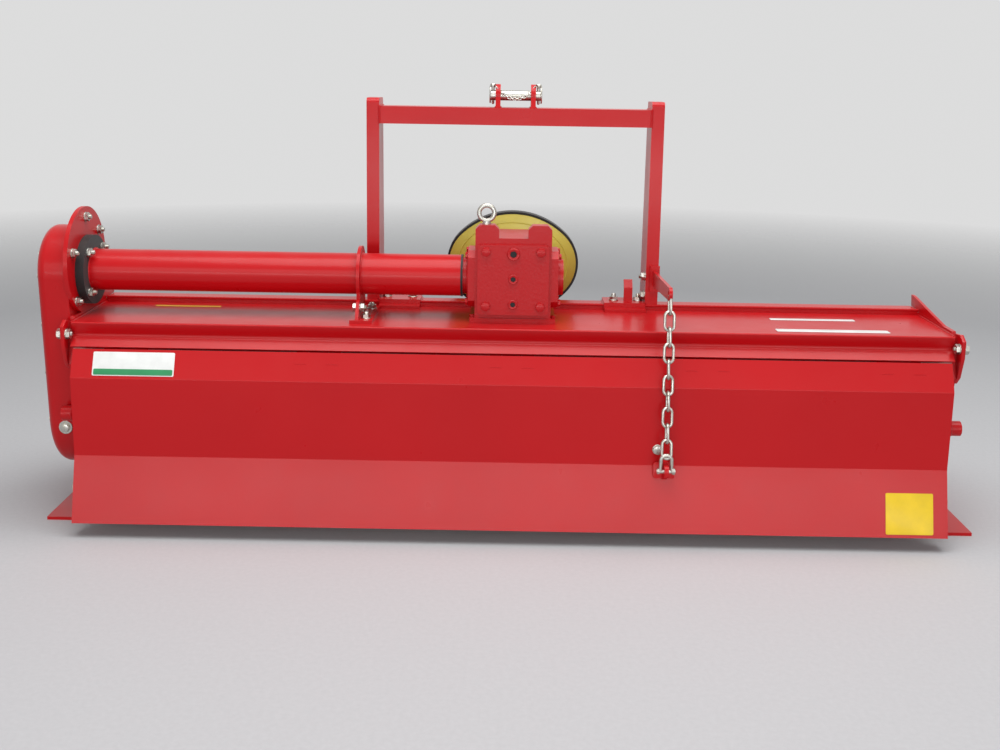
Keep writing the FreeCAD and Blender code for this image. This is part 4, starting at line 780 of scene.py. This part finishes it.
class TILLER_OT_case_bolts(bpy.types.Operator):
    """Makes the ring studs, tongue bolts, lid bolts and oil plugs of the side drive case"""

    bl_idname = "tiller.case_bolts"
    bl_label = "Case bolts"

    def execute(self, context):
        sizes = settings("fasteners")
        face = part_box("case_ring")[1].x * 1000
        bm = bmesh.new()
        for quarter in range(4):
            angle = math.radians(45 + 90 * quarter)
            spot = mm(face, AXLE_Y + RING_BOLT_CIRCLE * math.cos(angle),
                      AXLE_Z + RING_BOLT_CIRCLE * math.sin(angle))
            bolt(bm, spot, X, sizes.ring, stud=0.006, washer=0.9)
        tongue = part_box("deck")[0].x * 1000
        for y, z in TONGUE_BOLTS:
            bolt(bm, mm(tongue, y, z), X, sizes.ring, stud=0.004)
        piece("ring_studs", bm, ("zinc",))

        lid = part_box("side_case")[0].x * 1000
        bm = bmesh.new()
        for y, z in lid_bolt_places():
            bolt(bm, mm(lid, y, z), -X, sizes.foot)
        piece("lid_bolts", bm, ("zinc",))

        bm = bmesh.new()
        wall = facing(mm(*DRAIN_PLUG), -Y)
        lathe(bm, DRAIN_COLLAR, wall)
        hexagon(bm, *DRAIN_HEXAGON, wall)
        for y, z, radius in LID_PLUGS:
            socket_plug(bm, mm(lid, y, z), -X, radius)
        # The plugs' second material, black rubber, paints shade at the bottom of their sockets.
        piece("case_plugs", bm, ("zinc", "rubber_and_socket_shade"))
        return {"FINISHED"}


# The small welded plates, in mm; outlines are Y and Z

BRACKET_FRONT = {"left": -206, "right": -188}
BRACKET_REAR = ((-228, 505), (-248, 492), (-248, 452), (-232, 402), (-214, 384))
CORNER_PLATE = ((20, 512), (79, 512), (84, 541), (70, 541), (-150, 508), (-150, 500), (20, 500))
CORNER_PLATE_X, CORNER_PLATE_THICK = 1037, 8
LUG_PAD = (360, -279.6, 180)
PAD_WIDE, PAD_HIGH, PAD_CORNER, PAD_THICK, PAD_SUNK = 0.050, 0.038, 0.006, 0.007, 0.001  # in metres
TAIL_BOLT = (344, TAIL_MIDDLE_Y, 229)


def side_plate(name, outline, x, thickness, side):
    """A plate parallel to the side plates; x is its inner face."""
    bm = bmesh.new()
    upright = Matrix.Translation((side * x / 1000, 0, 0)) @ Matrix((
        (0, 0, side, 0), (1, 0, 0, 0), (0, 1, 0, 0), (0, 0, 0, 1)))
    slab(bm, [(y / 1000, z / 1000) for y, z in outline], thickness, upright, settings("welds").bevel)
    piece(name, bm, ("paint",))


class TILLER_OT_brackets(bpy.types.Operator):
    """Makes the corner brackets and plates, and the chain lug's pad with the bolt beside it"""

    bl_idname = "tiller.brackets"
    bl_label = "Brackets"

    def execute(self, context):
        sizes = settings("welds")
        for name, side in SIDES:
            front = BRACKET_FRONT[name]
            outline = ((front, 500), *BRACKET_REAR, (front, 396))
            side_plate(f"rear_bracket_{name}", outline, SIDE_OUTER, sizes.bracket, side)
            side_plate(f"corner_plate_{name}", CORNER_PLATE, CORNER_PLATE_X, CORNER_PLATE_THICK / 1000, side)

        bm = bmesh.new()
        turned = TAIL_LOW.to_track_quat("Z", "Y").to_matrix().to_4x4()
        slab(bm, rounded_box(PAD_WIDE, PAD_HIGH, PAD_CORNER), PAD_THICK,
             Matrix.Translation(mm(*LUG_PAD) - TAIL_LOW * PAD_SUNK) @ turned, sizes.bevel)
        piece("lug_pad", bm, ("paint",), "tailboard")

        bm = bmesh.new()
        bolt(bm, mm(*TAIL_BOLT), -Y, settings("fasteners").frame)
        piece("tail_bolt", bm, ("zinc",), "tailboard")
        return {"FINISHED"}


# The frame's fasteners, in mm

BRACKET_BOLT = (-232, 472)  # Y and Z
SKID_FACE, SKID_BOLTS = 1054, ((-190, 83), (40, 52), (225, 83))
SKID_BOLT = 0.86  # share of the skid bolts' size that the bearing's bolts have too
BOSS_BOLT = (SIDE_OUTER, -182, 245)
BEARING_BOLT_CIRCLE, BEARING_BOLTS = 62, 6
GREASE_X = 1058
SUPPORT_FOOT, SUPPORT_FOOT_BOLTS = 8, ((-350, -165), (-350, -48))  # thickness; X and Y
SUPPORT_BOLT = (-150, 530)  # Y and Z
CLAMP_BOLT_XS, CLAMP_BOLT_Y = (-321, -256, 261, 323), 52
MAST_BOLT_Y, MAST_BOLT_ZS = 44, (536, 584)


class TILLER_OT_frame_bolts(bpy.types.Operator):
    """Makes the bolts of the brackets, skids, bearings, support, clamps and mast"""

    bl_idname = "tiller.frame_bolts"
    bl_label = "Frame bolts"

    def execute(self, context):
        sizes = settings("fasteners")
        skid = sizes.skid * SKID_BOLT
        bracket_face = SIDE_OUTER + settings("welds").bracket * 1000
        bm = bmesh.new()
        for _, side in SIDES:
            bolt(bm, mm(side * bracket_face, *BRACKET_BOLT), X * side, sizes.hinge)
            bolt(bm, mm(side * SIDE_OUTER, *BRACKET_BOLT), X * -side, sizes.hinge * 0.93, stud=0.003)
        piece("bracket_bolts", bm, ("zinc",))

        bm = bmesh.new()
        for _, side in SIDES:
            for y, z in SKID_BOLTS:
                bolt(bm, mm(side * SKID_FACE, y, z), X * side, skid)
        bolt(bm, mm(*BOSS_BOLT), X, skid, washer=1.35)
        for k in range(BEARING_BOLTS):
            angle = math.radians(60 * k + 30)
            spot = mm(SIDE_OUTER, ROTOR_Y + BEARING_BOLT_CIRCLE * math.cos(angle),
                      ROTOR_Z + BEARING_BOLT_CIRCLE * math.sin(angle))
            bolt(bm, spot, X, skid)
        piece("skid_bolts", bm, ("zinc",))

        bm = bmesh.new()
        lathe(bm, BEARING_CAP, facing(mm(SIDE_OUTER, ROTOR_Y, ROTOR_Z), X), steps=40)
        piece("bearing_cap", bm, ("paint",))

        bm = bmesh.new()
        grease = facing(mm(GREASE_X, ROTOR_Y, ROTOR_Z), X)
        hexagon(bm, *GREASE_HEXAGON, grease)
        lathe(bm, GREASE_STEM, grease, steps=14)
        piece("grease_nipple", bm, ("zinc",))

        bm = bmesh.new()
        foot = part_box("deck")[1].z * 1000 + SUPPORT_FOOT
        for x, y in SUPPORT_FOOT_BOLTS:
            bolt(bm, mm(x, y, foot), Z, sizes.frame, stud=0.005)
        bolt(bm, mm(SUPPORT_LEFT, *SUPPORT_BOLT), -X, sizes.frame)
        bolt(bm, mm(SUPPORT_RIGHT, *SUPPORT_BOLT), X, sizes.frame, stud=0.004)
        for x in CLAMP_BOLT_XS:
            bolt(bm, mm(x, CLAMP_BOLT_Y, CLAMP_TOP), Z, sizes.frame, stud=0.006)
        for _, side in SIDES:
            for z in MAST_BOLT_ZS:
                bolt(bm, mm(side * UPRIGHT_X, MAST_BOLT_Y, z), X * -side, sizes.frame, stud=0.004)
        piece("frame_bolts", bm, ("zinc",))
        return {"FINISHED"}


# A blade's bolts, in metres: their reach from the rotor's axis, and where head and nut stand on the disc

BLADE_BOLT_REACH = (0.070, 0.093)
BLADE_HEAD, BLADE_NUT = 0.013, 0.005


class TILLER_OT_blade_bolts(bpy.types.Operator):
    """Makes the two bolts and nuts of every rotor blade"""

    bl_idname = "tiller.blade_bolts"
    bl_label = "Blade bolts"

    def execute(self, context):
        sizes = settings("fasteners")
        bm = bmesh.new()
        for k in range(sizes.discs):
            middle = X * sizes.disc_pitch * (k - (sizes.discs - 1) / 2)
            for turn in range(sizes.blades):
                side = 1 if turn % 2 == 0 else -1
                if (k, side) in ((0, -1), (sizes.discs - 1, 1)):  # no blades outside the end discs
                    continue
                angle = math.tau * turn / sizes.blades + sizes.stagger * k
                out = Vector((0, -math.sin(angle), math.cos(angle)))
                for reach in BLADE_BOLT_REACH:
                    centre = mm(0, ROTOR_Y, ROTOR_Z) + middle + out * reach
                    bolt(bm, centre + X * side * BLADE_HEAD, X * side, sizes.blade, washer=0)
                    bolt(bm, centre - X * side * BLADE_NUT, X * -side, sizes.blade, stud=0.003, washer=0)
        piece("blade_bolts", bm, ("zinc",), "rotor")
        return {"FINISHED"}


GUARD_RIBS = (0.72, 0.86)  # shares of the guard's half width and height
RIB_RADIUS, RIB_POINTS = 0.0022, 72
RIB_START = 0.1  # behind the guard, from where its surface is sought


class TILLER_OT_guard_ribs(bpy.types.Operator):
    """Makes the raised rings on the back of the shaft guard"""

    bl_idname = "tiller.guard_ribs"
    bl_label = "Guard ribs"

    def execute(self, context):
        cone = frame["nodes"]["guard_cone"]
        lo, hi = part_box("guard_cone")
        middle = (lo + hi) / 2
        inward = cone.matrix_world.inverted()
        bm = bmesh.new()
        for share in GUARD_RIBS:
            path = []
            for k in range(RIB_POINTS):
                angle = math.tau * k / RIB_POINTS
                behind = Vector((
                    middle.x + share * (hi.x - lo.x) / 2 * math.cos(angle), lo.y - RIB_START,
                    middle.z + share * (hi.z - lo.z) / 2 * math.sin(angle)))
                hit, where, _, _ = cone.ray_cast(inward @ behind, inward.to_3x3() @ Y)
                if not hit:
                    raise RuntimeError(f"the guard has no surface at angle {math.degrees(angle):.0f}")
                path.append(cone.matrix_world @ where)
            tube(bm, path, RIB_RADIUS, steps=8, closed=True)
        piece("guard_ribs", bm, ("guard",))
        return {"FINISHED"}


LINK_LEAN = 9  # degrees that a link may lean out of its quarter turn
ARC_STEPS = 10  # of a link's round end
# The shackle's nut and head in metres: thread size and how far it stands inside the shackle's end
SHACKLE_NUT, SHACKLE_HEAD, SHACKLE_PIN_RISE = (0.0085, 0.008), (0.0075, 0.006), 0.005


class TILLER_OT_chain(bpy.types.Operator):
    """Makes the tailboard's chain link by link, and the nuts of its shackle"""

    bl_idname = "tiller.chain"
    bl_label = "Chain"

    def execute(self, context):
        sizes = settings("chain")
        top, foot = Vector(sizes.top), Vector(sizes.foot)
        down = (foot - top).normalized()
        pitch = (foot - top).length / sizes.links
        bend = (sizes.width - sizes.wire) / 2
        straight = (pitch + sizes.wire) / 2 - bend
        bm = bmesh.new()
        for k in range(sizes.links):
            centre = top + down * pitch * (k + 0.5)
            turn = math.radians(90 * (k % 2) + random.uniform(-LINK_LEAN, LINK_LEAN))
            place = facing(centre, down) @ Matrix.Rotation(turn + math.pi / 2, 4, "Z")
            path = []
            for end in (1, -1):
                for step in range(ARC_STEPS + 1):
                    angle = math.pi * step / ARC_STEPS
                    path.append(place @ Vector((
                        end * bend * math.cos(angle), 0, end * (straight + bend * math.sin(angle)))))
            tube(bm, path, sizes.wire / 2, closed=True)
        chain = piece("chain_links", bm, ("zinc",), None, ("chain",))
        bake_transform(chain)

        bm = bmesh.new()
        lo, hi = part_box("shackle")
        middle, low = (lo.y + hi.y) / 2, lo.z + SHACKLE_PIN_RISE
        size, inside = SHACKLE_NUT
        bolt(bm, Vector((hi.x - inside, middle, low)), X, size, washer=0.9)
        size, inside = SHACKLE_HEAD
        bolt(bm, Vector((lo.x + inside, middle, low)), -X, size, washer=0)
        piece("shackle_nuts", bm, ("zinc",), "tailboard")
        return {"FINISHED"}


# Linch pins: the place on the right side in mm, and the radius of the pin that each goes through

LINCH_PINS = ((57, 63, 1036, 0.013), (470.5, 292, 426, 0.0142))
# Past the pin that it goes through, in metres: its head, its taper's start and its tip
LINCH_RISE, LINCH_TAPER, LINCH_TIP = 0.007, 0.006, 0.009
LINCH_HEAD = ((0, 0), (1.9, 0), (2.1, 0.5), (2.1, 2), (1.6, 2.6), (0, 2.7))  # in its half thickness
RING_WIRE, RING_ASIDE, RING_RISE, RING_FLAT = 0.0019, 0.007, 0.002, 0.9
RING_HALF_TURN, RING_STEPS = 100, 24  # degrees from its front to each end
# The keeper chain between the top pin's two linch pins; its ends in mm
KEEPER_ENDS = ((-50, 44, 1058), (50, 44, 1058))
KEEPER_LINKS, KEEPER_SAG, KEEPER_HALF, KEEPER_POINTS = 16, 0.030, 0.0042, 14
KEEPER_BEND, KEEPER_GAP = 0.75, 0.45  # shares of a keeper link's half width


def linch_pin(bm, at, clear, side):
    """A linch pin down through a pin's end, its spring ring snapped round the rear."""
    sizes = settings("chain")
    half = sizes.linch / 2
    head = at + Z * (clear + LINCH_RISE)
    shank = [at - Z * (clear + LINCH_TIP), at - Z * (clear + LINCH_TAPER), head]
    tube(bm, shank, [half * 0.6, half, half], steps=12)
    lathe(bm, scaled(LINCH_HEAD, half, half), facing(head, Z), steps=18)
    ring = sizes.linch_ring
    arc = []
    for k in range(RING_STEPS + 1):
        angle = math.radians(RING_HALF_TURN - 2 * RING_HALF_TURN * k / RING_STEPS)
        arc.append(at + Vector((
            side * RING_ASIDE, -ring * math.cos(angle) * RING_FLAT, ring * math.sin(angle) + RING_RISE)))
    tube(bm, [head + Z * half, *arc], RING_WIRE, steps=8)


class TILLER_OT_linch_pins(bpy.types.Operator):
    """Makes the linch pins of the top link pin and hitch pins, and the keeper chain"""

    bl_idname = "tiller.linch_pins"
    bl_label = "Linch pins"

    def execute(self, context):
        bm = bmesh.new()
        for _, side in SIDES:
            for x, y, z, clear in LINCH_PINS:
                linch_pin(bm, mm(side * x, y, z), clear, side)
        piece("linch_pins", bm, ("zinc",))

        bm = bmesh.new()
        start, end = (mm(*spot) for spot in KEEPER_ENDS)
        spots = [
            start.lerp(end, share) - Z * KEEPER_SAG * 4 * share * (1 - share)
            for share in (k / KEEPER_LINKS for k in range(KEEPER_LINKS + 1))]
        bend = KEEPER_HALF * KEEPER_BEND
        for k, (near, far) in enumerate(zip(spots, spots[1:])):
            place = facing((near + far) / 2, (far - near).normalized(), math.pi / 2 * (k % 2))
            reach = (far - near).length / 2 - KEEPER_HALF * KEEPER_GAP
            path = []
            for n in range(KEEPER_POINTS):
                angle = math.tau * n / KEEPER_POINTS + 0.001  # off the axis, so no point is on both ends
                end = math.copysign(reach, math.sin(angle))
                path.append(place @ Vector((bend * math.cos(angle), 0, end + bend * math.sin(angle))))
            tube(bm, path, settings("chain").keeper / 2, steps=6, closed=True)
        piece("keeper_chain", bm, ("zinc",))
        return {"FINISHED"}


# The stuck-on plates: middle in mm, width and height in metres

PLATE_LIFT = 0.0004  # off the paint
WHITE_PLATE, WHITE_SIZE = (-880, -264.8, 410), (0.190, 0.056)
BAND_SIZE, BAND_BELOW = (0.184, 0.014), 0.019
YELLOW_PLATE, YELLOW_SIZE = (935.5, -298.7, 90), (0.111, 0.096)
DECK_STRIPS = (
    ("strip_front", "white", 639, 848, -74, -54),
    ("strip_rear", "white", 626, 893, -204, -176),
    ("strip_yellow", "yellow", -897, -733, -31, -18),
)  # X from and to, Y from and to


def plate(name, key, middle, size, normal, body, lift=PLATE_LIFT):
    """A blank plate on a surface that faces along a normal; its width is along the machine."""
    sizes = settings("plates")
    wide, high = size
    bm = bmesh.new()
    turned = Matrix((X, normal.cross(X), normal)).transposed().to_4x4()
    corner = min(sizes.corner, high * 0.3)
    slab(bm, rounded_box(wide, high, corner), sizes.thickness,
         Matrix.Translation(middle + normal * lift) @ turned, sizes.thickness * 0.3)
    piece(name, bm, (key,), body)


class TILLER_OT_plates(bpy.types.Operator):
    """Makes the blank plates on the tailboard and the strips on the deck"""

    bl_idname = "tiller.plates"
    bl_label = "Plates"

    def execute(self, context):
        white = mm(*WHITE_PLATE)
        plate("plate_white", "white", white, WHITE_SIZE, TAIL_UPPER, "tailboard")
        down = TAIL_UPPER.cross(X)
        down = down if down.z < 0 else -down
        plate("plate_band", "green", white + down * BAND_BELOW, BAND_SIZE, TAIL_UPPER, "tailboard",
              PLATE_LIFT + settings("plates").thickness)
        plate("plate_yellow", "yellow", mm(*YELLOW_PLATE), YELLOW_SIZE, TAIL_LOW, "tailboard")
        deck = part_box("deck")[1].z * 1000
        for name, key, x0, x1, y0, y1 in DECK_STRIPS:
            plate(name, key, mm((x0 + x1) / 2, (y0 + y1) / 2, deck),
                  ((x1 - x0) / 1000, (y1 - y0) / 1000), Z, "root")
        return {"FINISHED"}


# Weld beads in mm: the corners of each run, on the right side where both sides have it

SIDE_RUNS = (
    ((1035, 18, DECK_TOP), (1035, -224, DECK_TOP)),
    ((UPRIGHT_X, BEAM_BACK, BEAM_TOP), (370, BEAM_BACK, BEAM_TOP)),
    ((UPRIGHT_X, BEAM_BACK, CROSSBAR_LOW), (UPRIGHT_X, BEAM_BACK, MAST_TOP), (UPRIGHT_X, 106, MAST_TOP)),
    ((38, 31, MAST_TOP), (38, 95, MAST_TOP)),
    ((50, 31, MAST_TOP), (50, 95, MAST_TOP)),
)
BOSS, BOSS_RADIUS = (SIDE_OUTER, -208, 272), 0.018
FOOT_RUNS = (
    ((234, BEAM_BACK, BEAM_TOP), (234, BEAM_FRONT, BEAM_TOP)),
    ((UPRIGHT_X, BEAM_BACK, BEAM_TOP), (UPRIGHT_X, BEAM_BACK, CLAMP_TOP)),
)
SUPPORT_RUN = ((SUPPORT_RIGHT, -192, 508), (SUPPORT_RIGHT, -20, 508))
TUBE_RADIUS, TUBE_RINGS = 0.050, (SUPPORT_RIGHT, SUPPORT_LEFT, -109, -1016)
SINGLE_RUNS = (
    ((286, 40, CLAMP_TOP), (308, 40, CLAMP_TOP)),
    ((356, BEAM_BACK, 602), (356, BEAM_BACK, 564)),
    ((364, BEAM_BACK, 602), (364, BEAM_BACK, 564)),
    ((-1035, BEAM_BACK, 513), (1035, BEAM_BACK, 513)),
)


class TILLER_OT_welds(bpy.types.Operator):
    """Makes the weld beads along the joints of the frame"""

    bl_idname = "tiller.welds"
    bl_label = "Welds"

    def execute(self, context):
        bm = bmesh.new()

        def beads(runs, side=1):
            for run in runs:
                weld(bm, [mm(side * x, y, z) for x, y, z in run])

        def ring(x, y, z, radius, count):
            weld(bm, circle(mm(x, y, z), X, radius, count), closed=True)

        for _, side in SIDES:
            beads(SIDE_RUNS, side)
            x, y, z = BOSS
            ring(side * x, y, z, BOSS_RADIUS, 24)
            beads(FOOT_RUNS, side)
        beads((SUPPORT_RUN,))
        for x in TUBE_RINGS:
            ring(x, AXLE_Y, AXLE_Z, TUBE_RADIUS, 60)
        beads(SINGLE_RUNS)
        piece("weld_beads", bm, ("casting",))
        return {"FINISHED"}


# Each lamp: name, its setting, place, aim, width and depth, in metres

LAMPS = (
    ("top_box", "top_watts", (0.3, -0.6, 3.6), (0, 0, 0.4), 4.5, 2.6),
    ("rear_box", "back_watts", (0.0, -6.2, 2.3), (0, 0, 0.5), 7.5, 1.8),
    ("strip_box", "strip_watts", (0.0, -3.7, 0.52), (0, 0, 0.5), 5.0, 0.45),
)
SKY_COLOUR, BACKDROP_COLOUR = (0.96, 0.98, 1.0, 1), (1, 1, 1, 1)
FADE_FROM = 0.45  # share of the floor's reach where it begins to fade


def add_to_scene(name, data):
    """An object in the scene."""
    obj = bpy.data.objects.new(name, data)
    bpy.context.scene.collection.objects.link(obj)
    return obj


def studio_floor(look):
    """A pale round floor that fades into the backdrop."""
    pale = Finish("studio_floor")
    speck = pale.spread(pale.noise(scale=90, detail=4, rough=0.6))
    pale.drive("Base Color", pale.blend(speck, shade(look.floor, 0.97), shade(look.floor, 1.03)))
    pale.fix("Roughness", 0.85)
    away = pale.add("ShaderNodeVectorMath", operation="LENGTH")
    pale.link(pale.coords, away.inputs[0])
    gone = pale.spread(
        away.outputs["Value"], from_low=look.floor_reach * FADE_FROM, from_high=look.floor_reach)
    clear = pale.add("ShaderNodeBsdfTransparent")
    mix = pale.add("ShaderNodeMixShader")
    for source, socket in zip((gone, pale.shader.outputs[0], clear.outputs[0]), mix.inputs):
        pale.link(source, socket)
    pale.link(mix.outputs[0], pale.tree.nodes["Material Output"].inputs["Surface"])
    bm = bmesh.new()
    bmesh.ops.create_circle(bm, cap_ends=True, segments=64, radius=look.floor_reach)
    mesh = bpy.data.meshes.new("studio_floor")
    bm.to_mesh(mesh)
    bm.free()
    mesh.materials.append(pale.material)
    floor = add_to_scene("studio_floor", mesh)


def studio_world(look):
    """Even light from all round, and a pale backdrop in view and in reflections."""
    world = bpy.data.worlds.new("studio")
    bpy.context.scene.world = world
    world.use_nodes = True
    nodes, links = world.node_tree.nodes, world.node_tree.links
    sky = nodes["Background"]
    backdrop = nodes.new("ShaderNodeBackground")
    for light, colour, strength in (
        (sky, SKY_COLOUR, look.sky), (backdrop, BACKDROP_COLOUR, look.backdrop),
    ):
        light.inputs["Color"].default_value = colour
        light.inputs["Strength"].default_value = strength
    ray = nodes.new("ShaderNodeLightPath")
    seen = ray.outputs["Is Camera Ray"]
    for other in ("Is Glossy Ray", "Is Transmission Ray"):
        either = nodes.new("ShaderNodeMath")
        either.operation = "MAXIMUM"
        links.new(seen, either.inputs[0])
        links.new(ray.outputs[other], either.inputs[1])
        seen = either.outputs[0]
    mix = nodes.new("ShaderNodeMixShader")
    for source, socket in zip((seen, sky.outputs[0], backdrop.outputs[0]), mix.inputs):
        links.new(source, socket)
    links.new(mix.outputs[0], nodes["World Output"].inputs["Surface"])


def studio_lamps(look):
    """Soft boxes above, behind the camera and low over the floor."""
    for name, watts, place, aim, wide, deep in LAMPS:
        lamp = bpy.data.lights.new(name, "AREA")
        lamp.shape = "RECTANGLE"
        lamp.size, lamp.size_y = wide, deep
        lamp.energy = getattr(look, watts)
        box = add_to_scene(name, lamp)
        box.location = place
        box.rotation_euler = (Vector(aim) - Vector(place)).to_track_quat("-Z", "Y").to_euler()


def studio_camera(look):
    """The camera, level with the mast's top and tilted down at the tailboard."""
    eye = bpy.data.cameras.new("camera")
    eye.lens = look.lens
    eye.shift_y = look.shift
    camera = add_to_scene("camera", eye)
    camera.location = look.camera_place
    camera.rotation_euler = (
        Matrix.Rotation(-look.yaw, 3, "Z")
        @ Matrix.Rotation(math.pi / 2 - look.pitch, 3, "X")
        @ Matrix.Rotation(look.roll, 3, "Z")
    ).to_euler()
    bpy.context.scene.camera = camera


class TILLER_OT_stage(bpy.types.Operator):
    """Makes the floor, the soft studio lamps and the camera"""

    bl_idname = "tiller.stage"
    bl_label = "Studio"

    def execute(self, context):
        look = settings("stage")
        context.scene.view_settings.view_transform = "Standard"
        studio_floor(look)
        studio_world(look)
        studio_lamps(look)
        studio_camera(look)
        return {"FINISHED"}


class TILLER_PT_panel(bpy.types.Panel):
    """Lists the tiller's sizes, colours and operators"""

    bl_label = "Tiller"
    bl_idname = "TILLER_PT_panel"
    bl_space_type = "VIEW_3D"
    bl_region_type = "UI"
    bl_category = "Tiller"

    def draw(self, context):
        for title in GROUPS:
            box = self.layout.box()
            box.label(text=title.capitalize())
            group = settings(title)
            for name in group.__annotations__:
                box.prop(group, name)
        for operator in OPERATORS:
            self.layout.operator(operator.bl_idname)


OPERATORS = (
    TILLER_OT_finishes, TILLER_OT_gearbox_bolts, TILLER_OT_case_bolts, TILLER_OT_brackets,
    TILLER_OT_frame_bolts, TILLER_OT_blade_bolts, TILLER_OT_guard_ribs, TILLER_OT_chain,
    TILLER_OT_linch_pins, TILLER_OT_plates, TILLER_OT_welds, TILLER_OT_stage,
)
GROUPS = {
    "finish": TillerFinish, "fasteners": TillerFasteners, "chain": TillerChain,
    "plates": TillerPlates, "welds": TillerWelds, "stage": TillerStage,
}


def register():
    for cls in (*GROUPS.values(), *OPERATORS, TILLER_PT_panel):
        bpy.utils.register_class(cls)
    for name, group in GROUPS.items():
        setattr(bpy.types.Scene, f"tiller_{name}", PointerProperty(type=group))


def unregister():
    for name in GROUPS:
        delattr(bpy.types.Scene, f"tiller_{name}")
    for cls in reversed((*GROUPS.values(), *OPERATORS, TILLER_PT_panel)):
        bpy.utils.unregister_class(cls)


def main():
    register()
    random.seed(SEED)
    for operator in OPERATORS:
        kind, name = operator.bl_idname.split(".")
        getattr(getattr(bpy.ops, kind), name)()


if __name__ == "__main__":
    main()
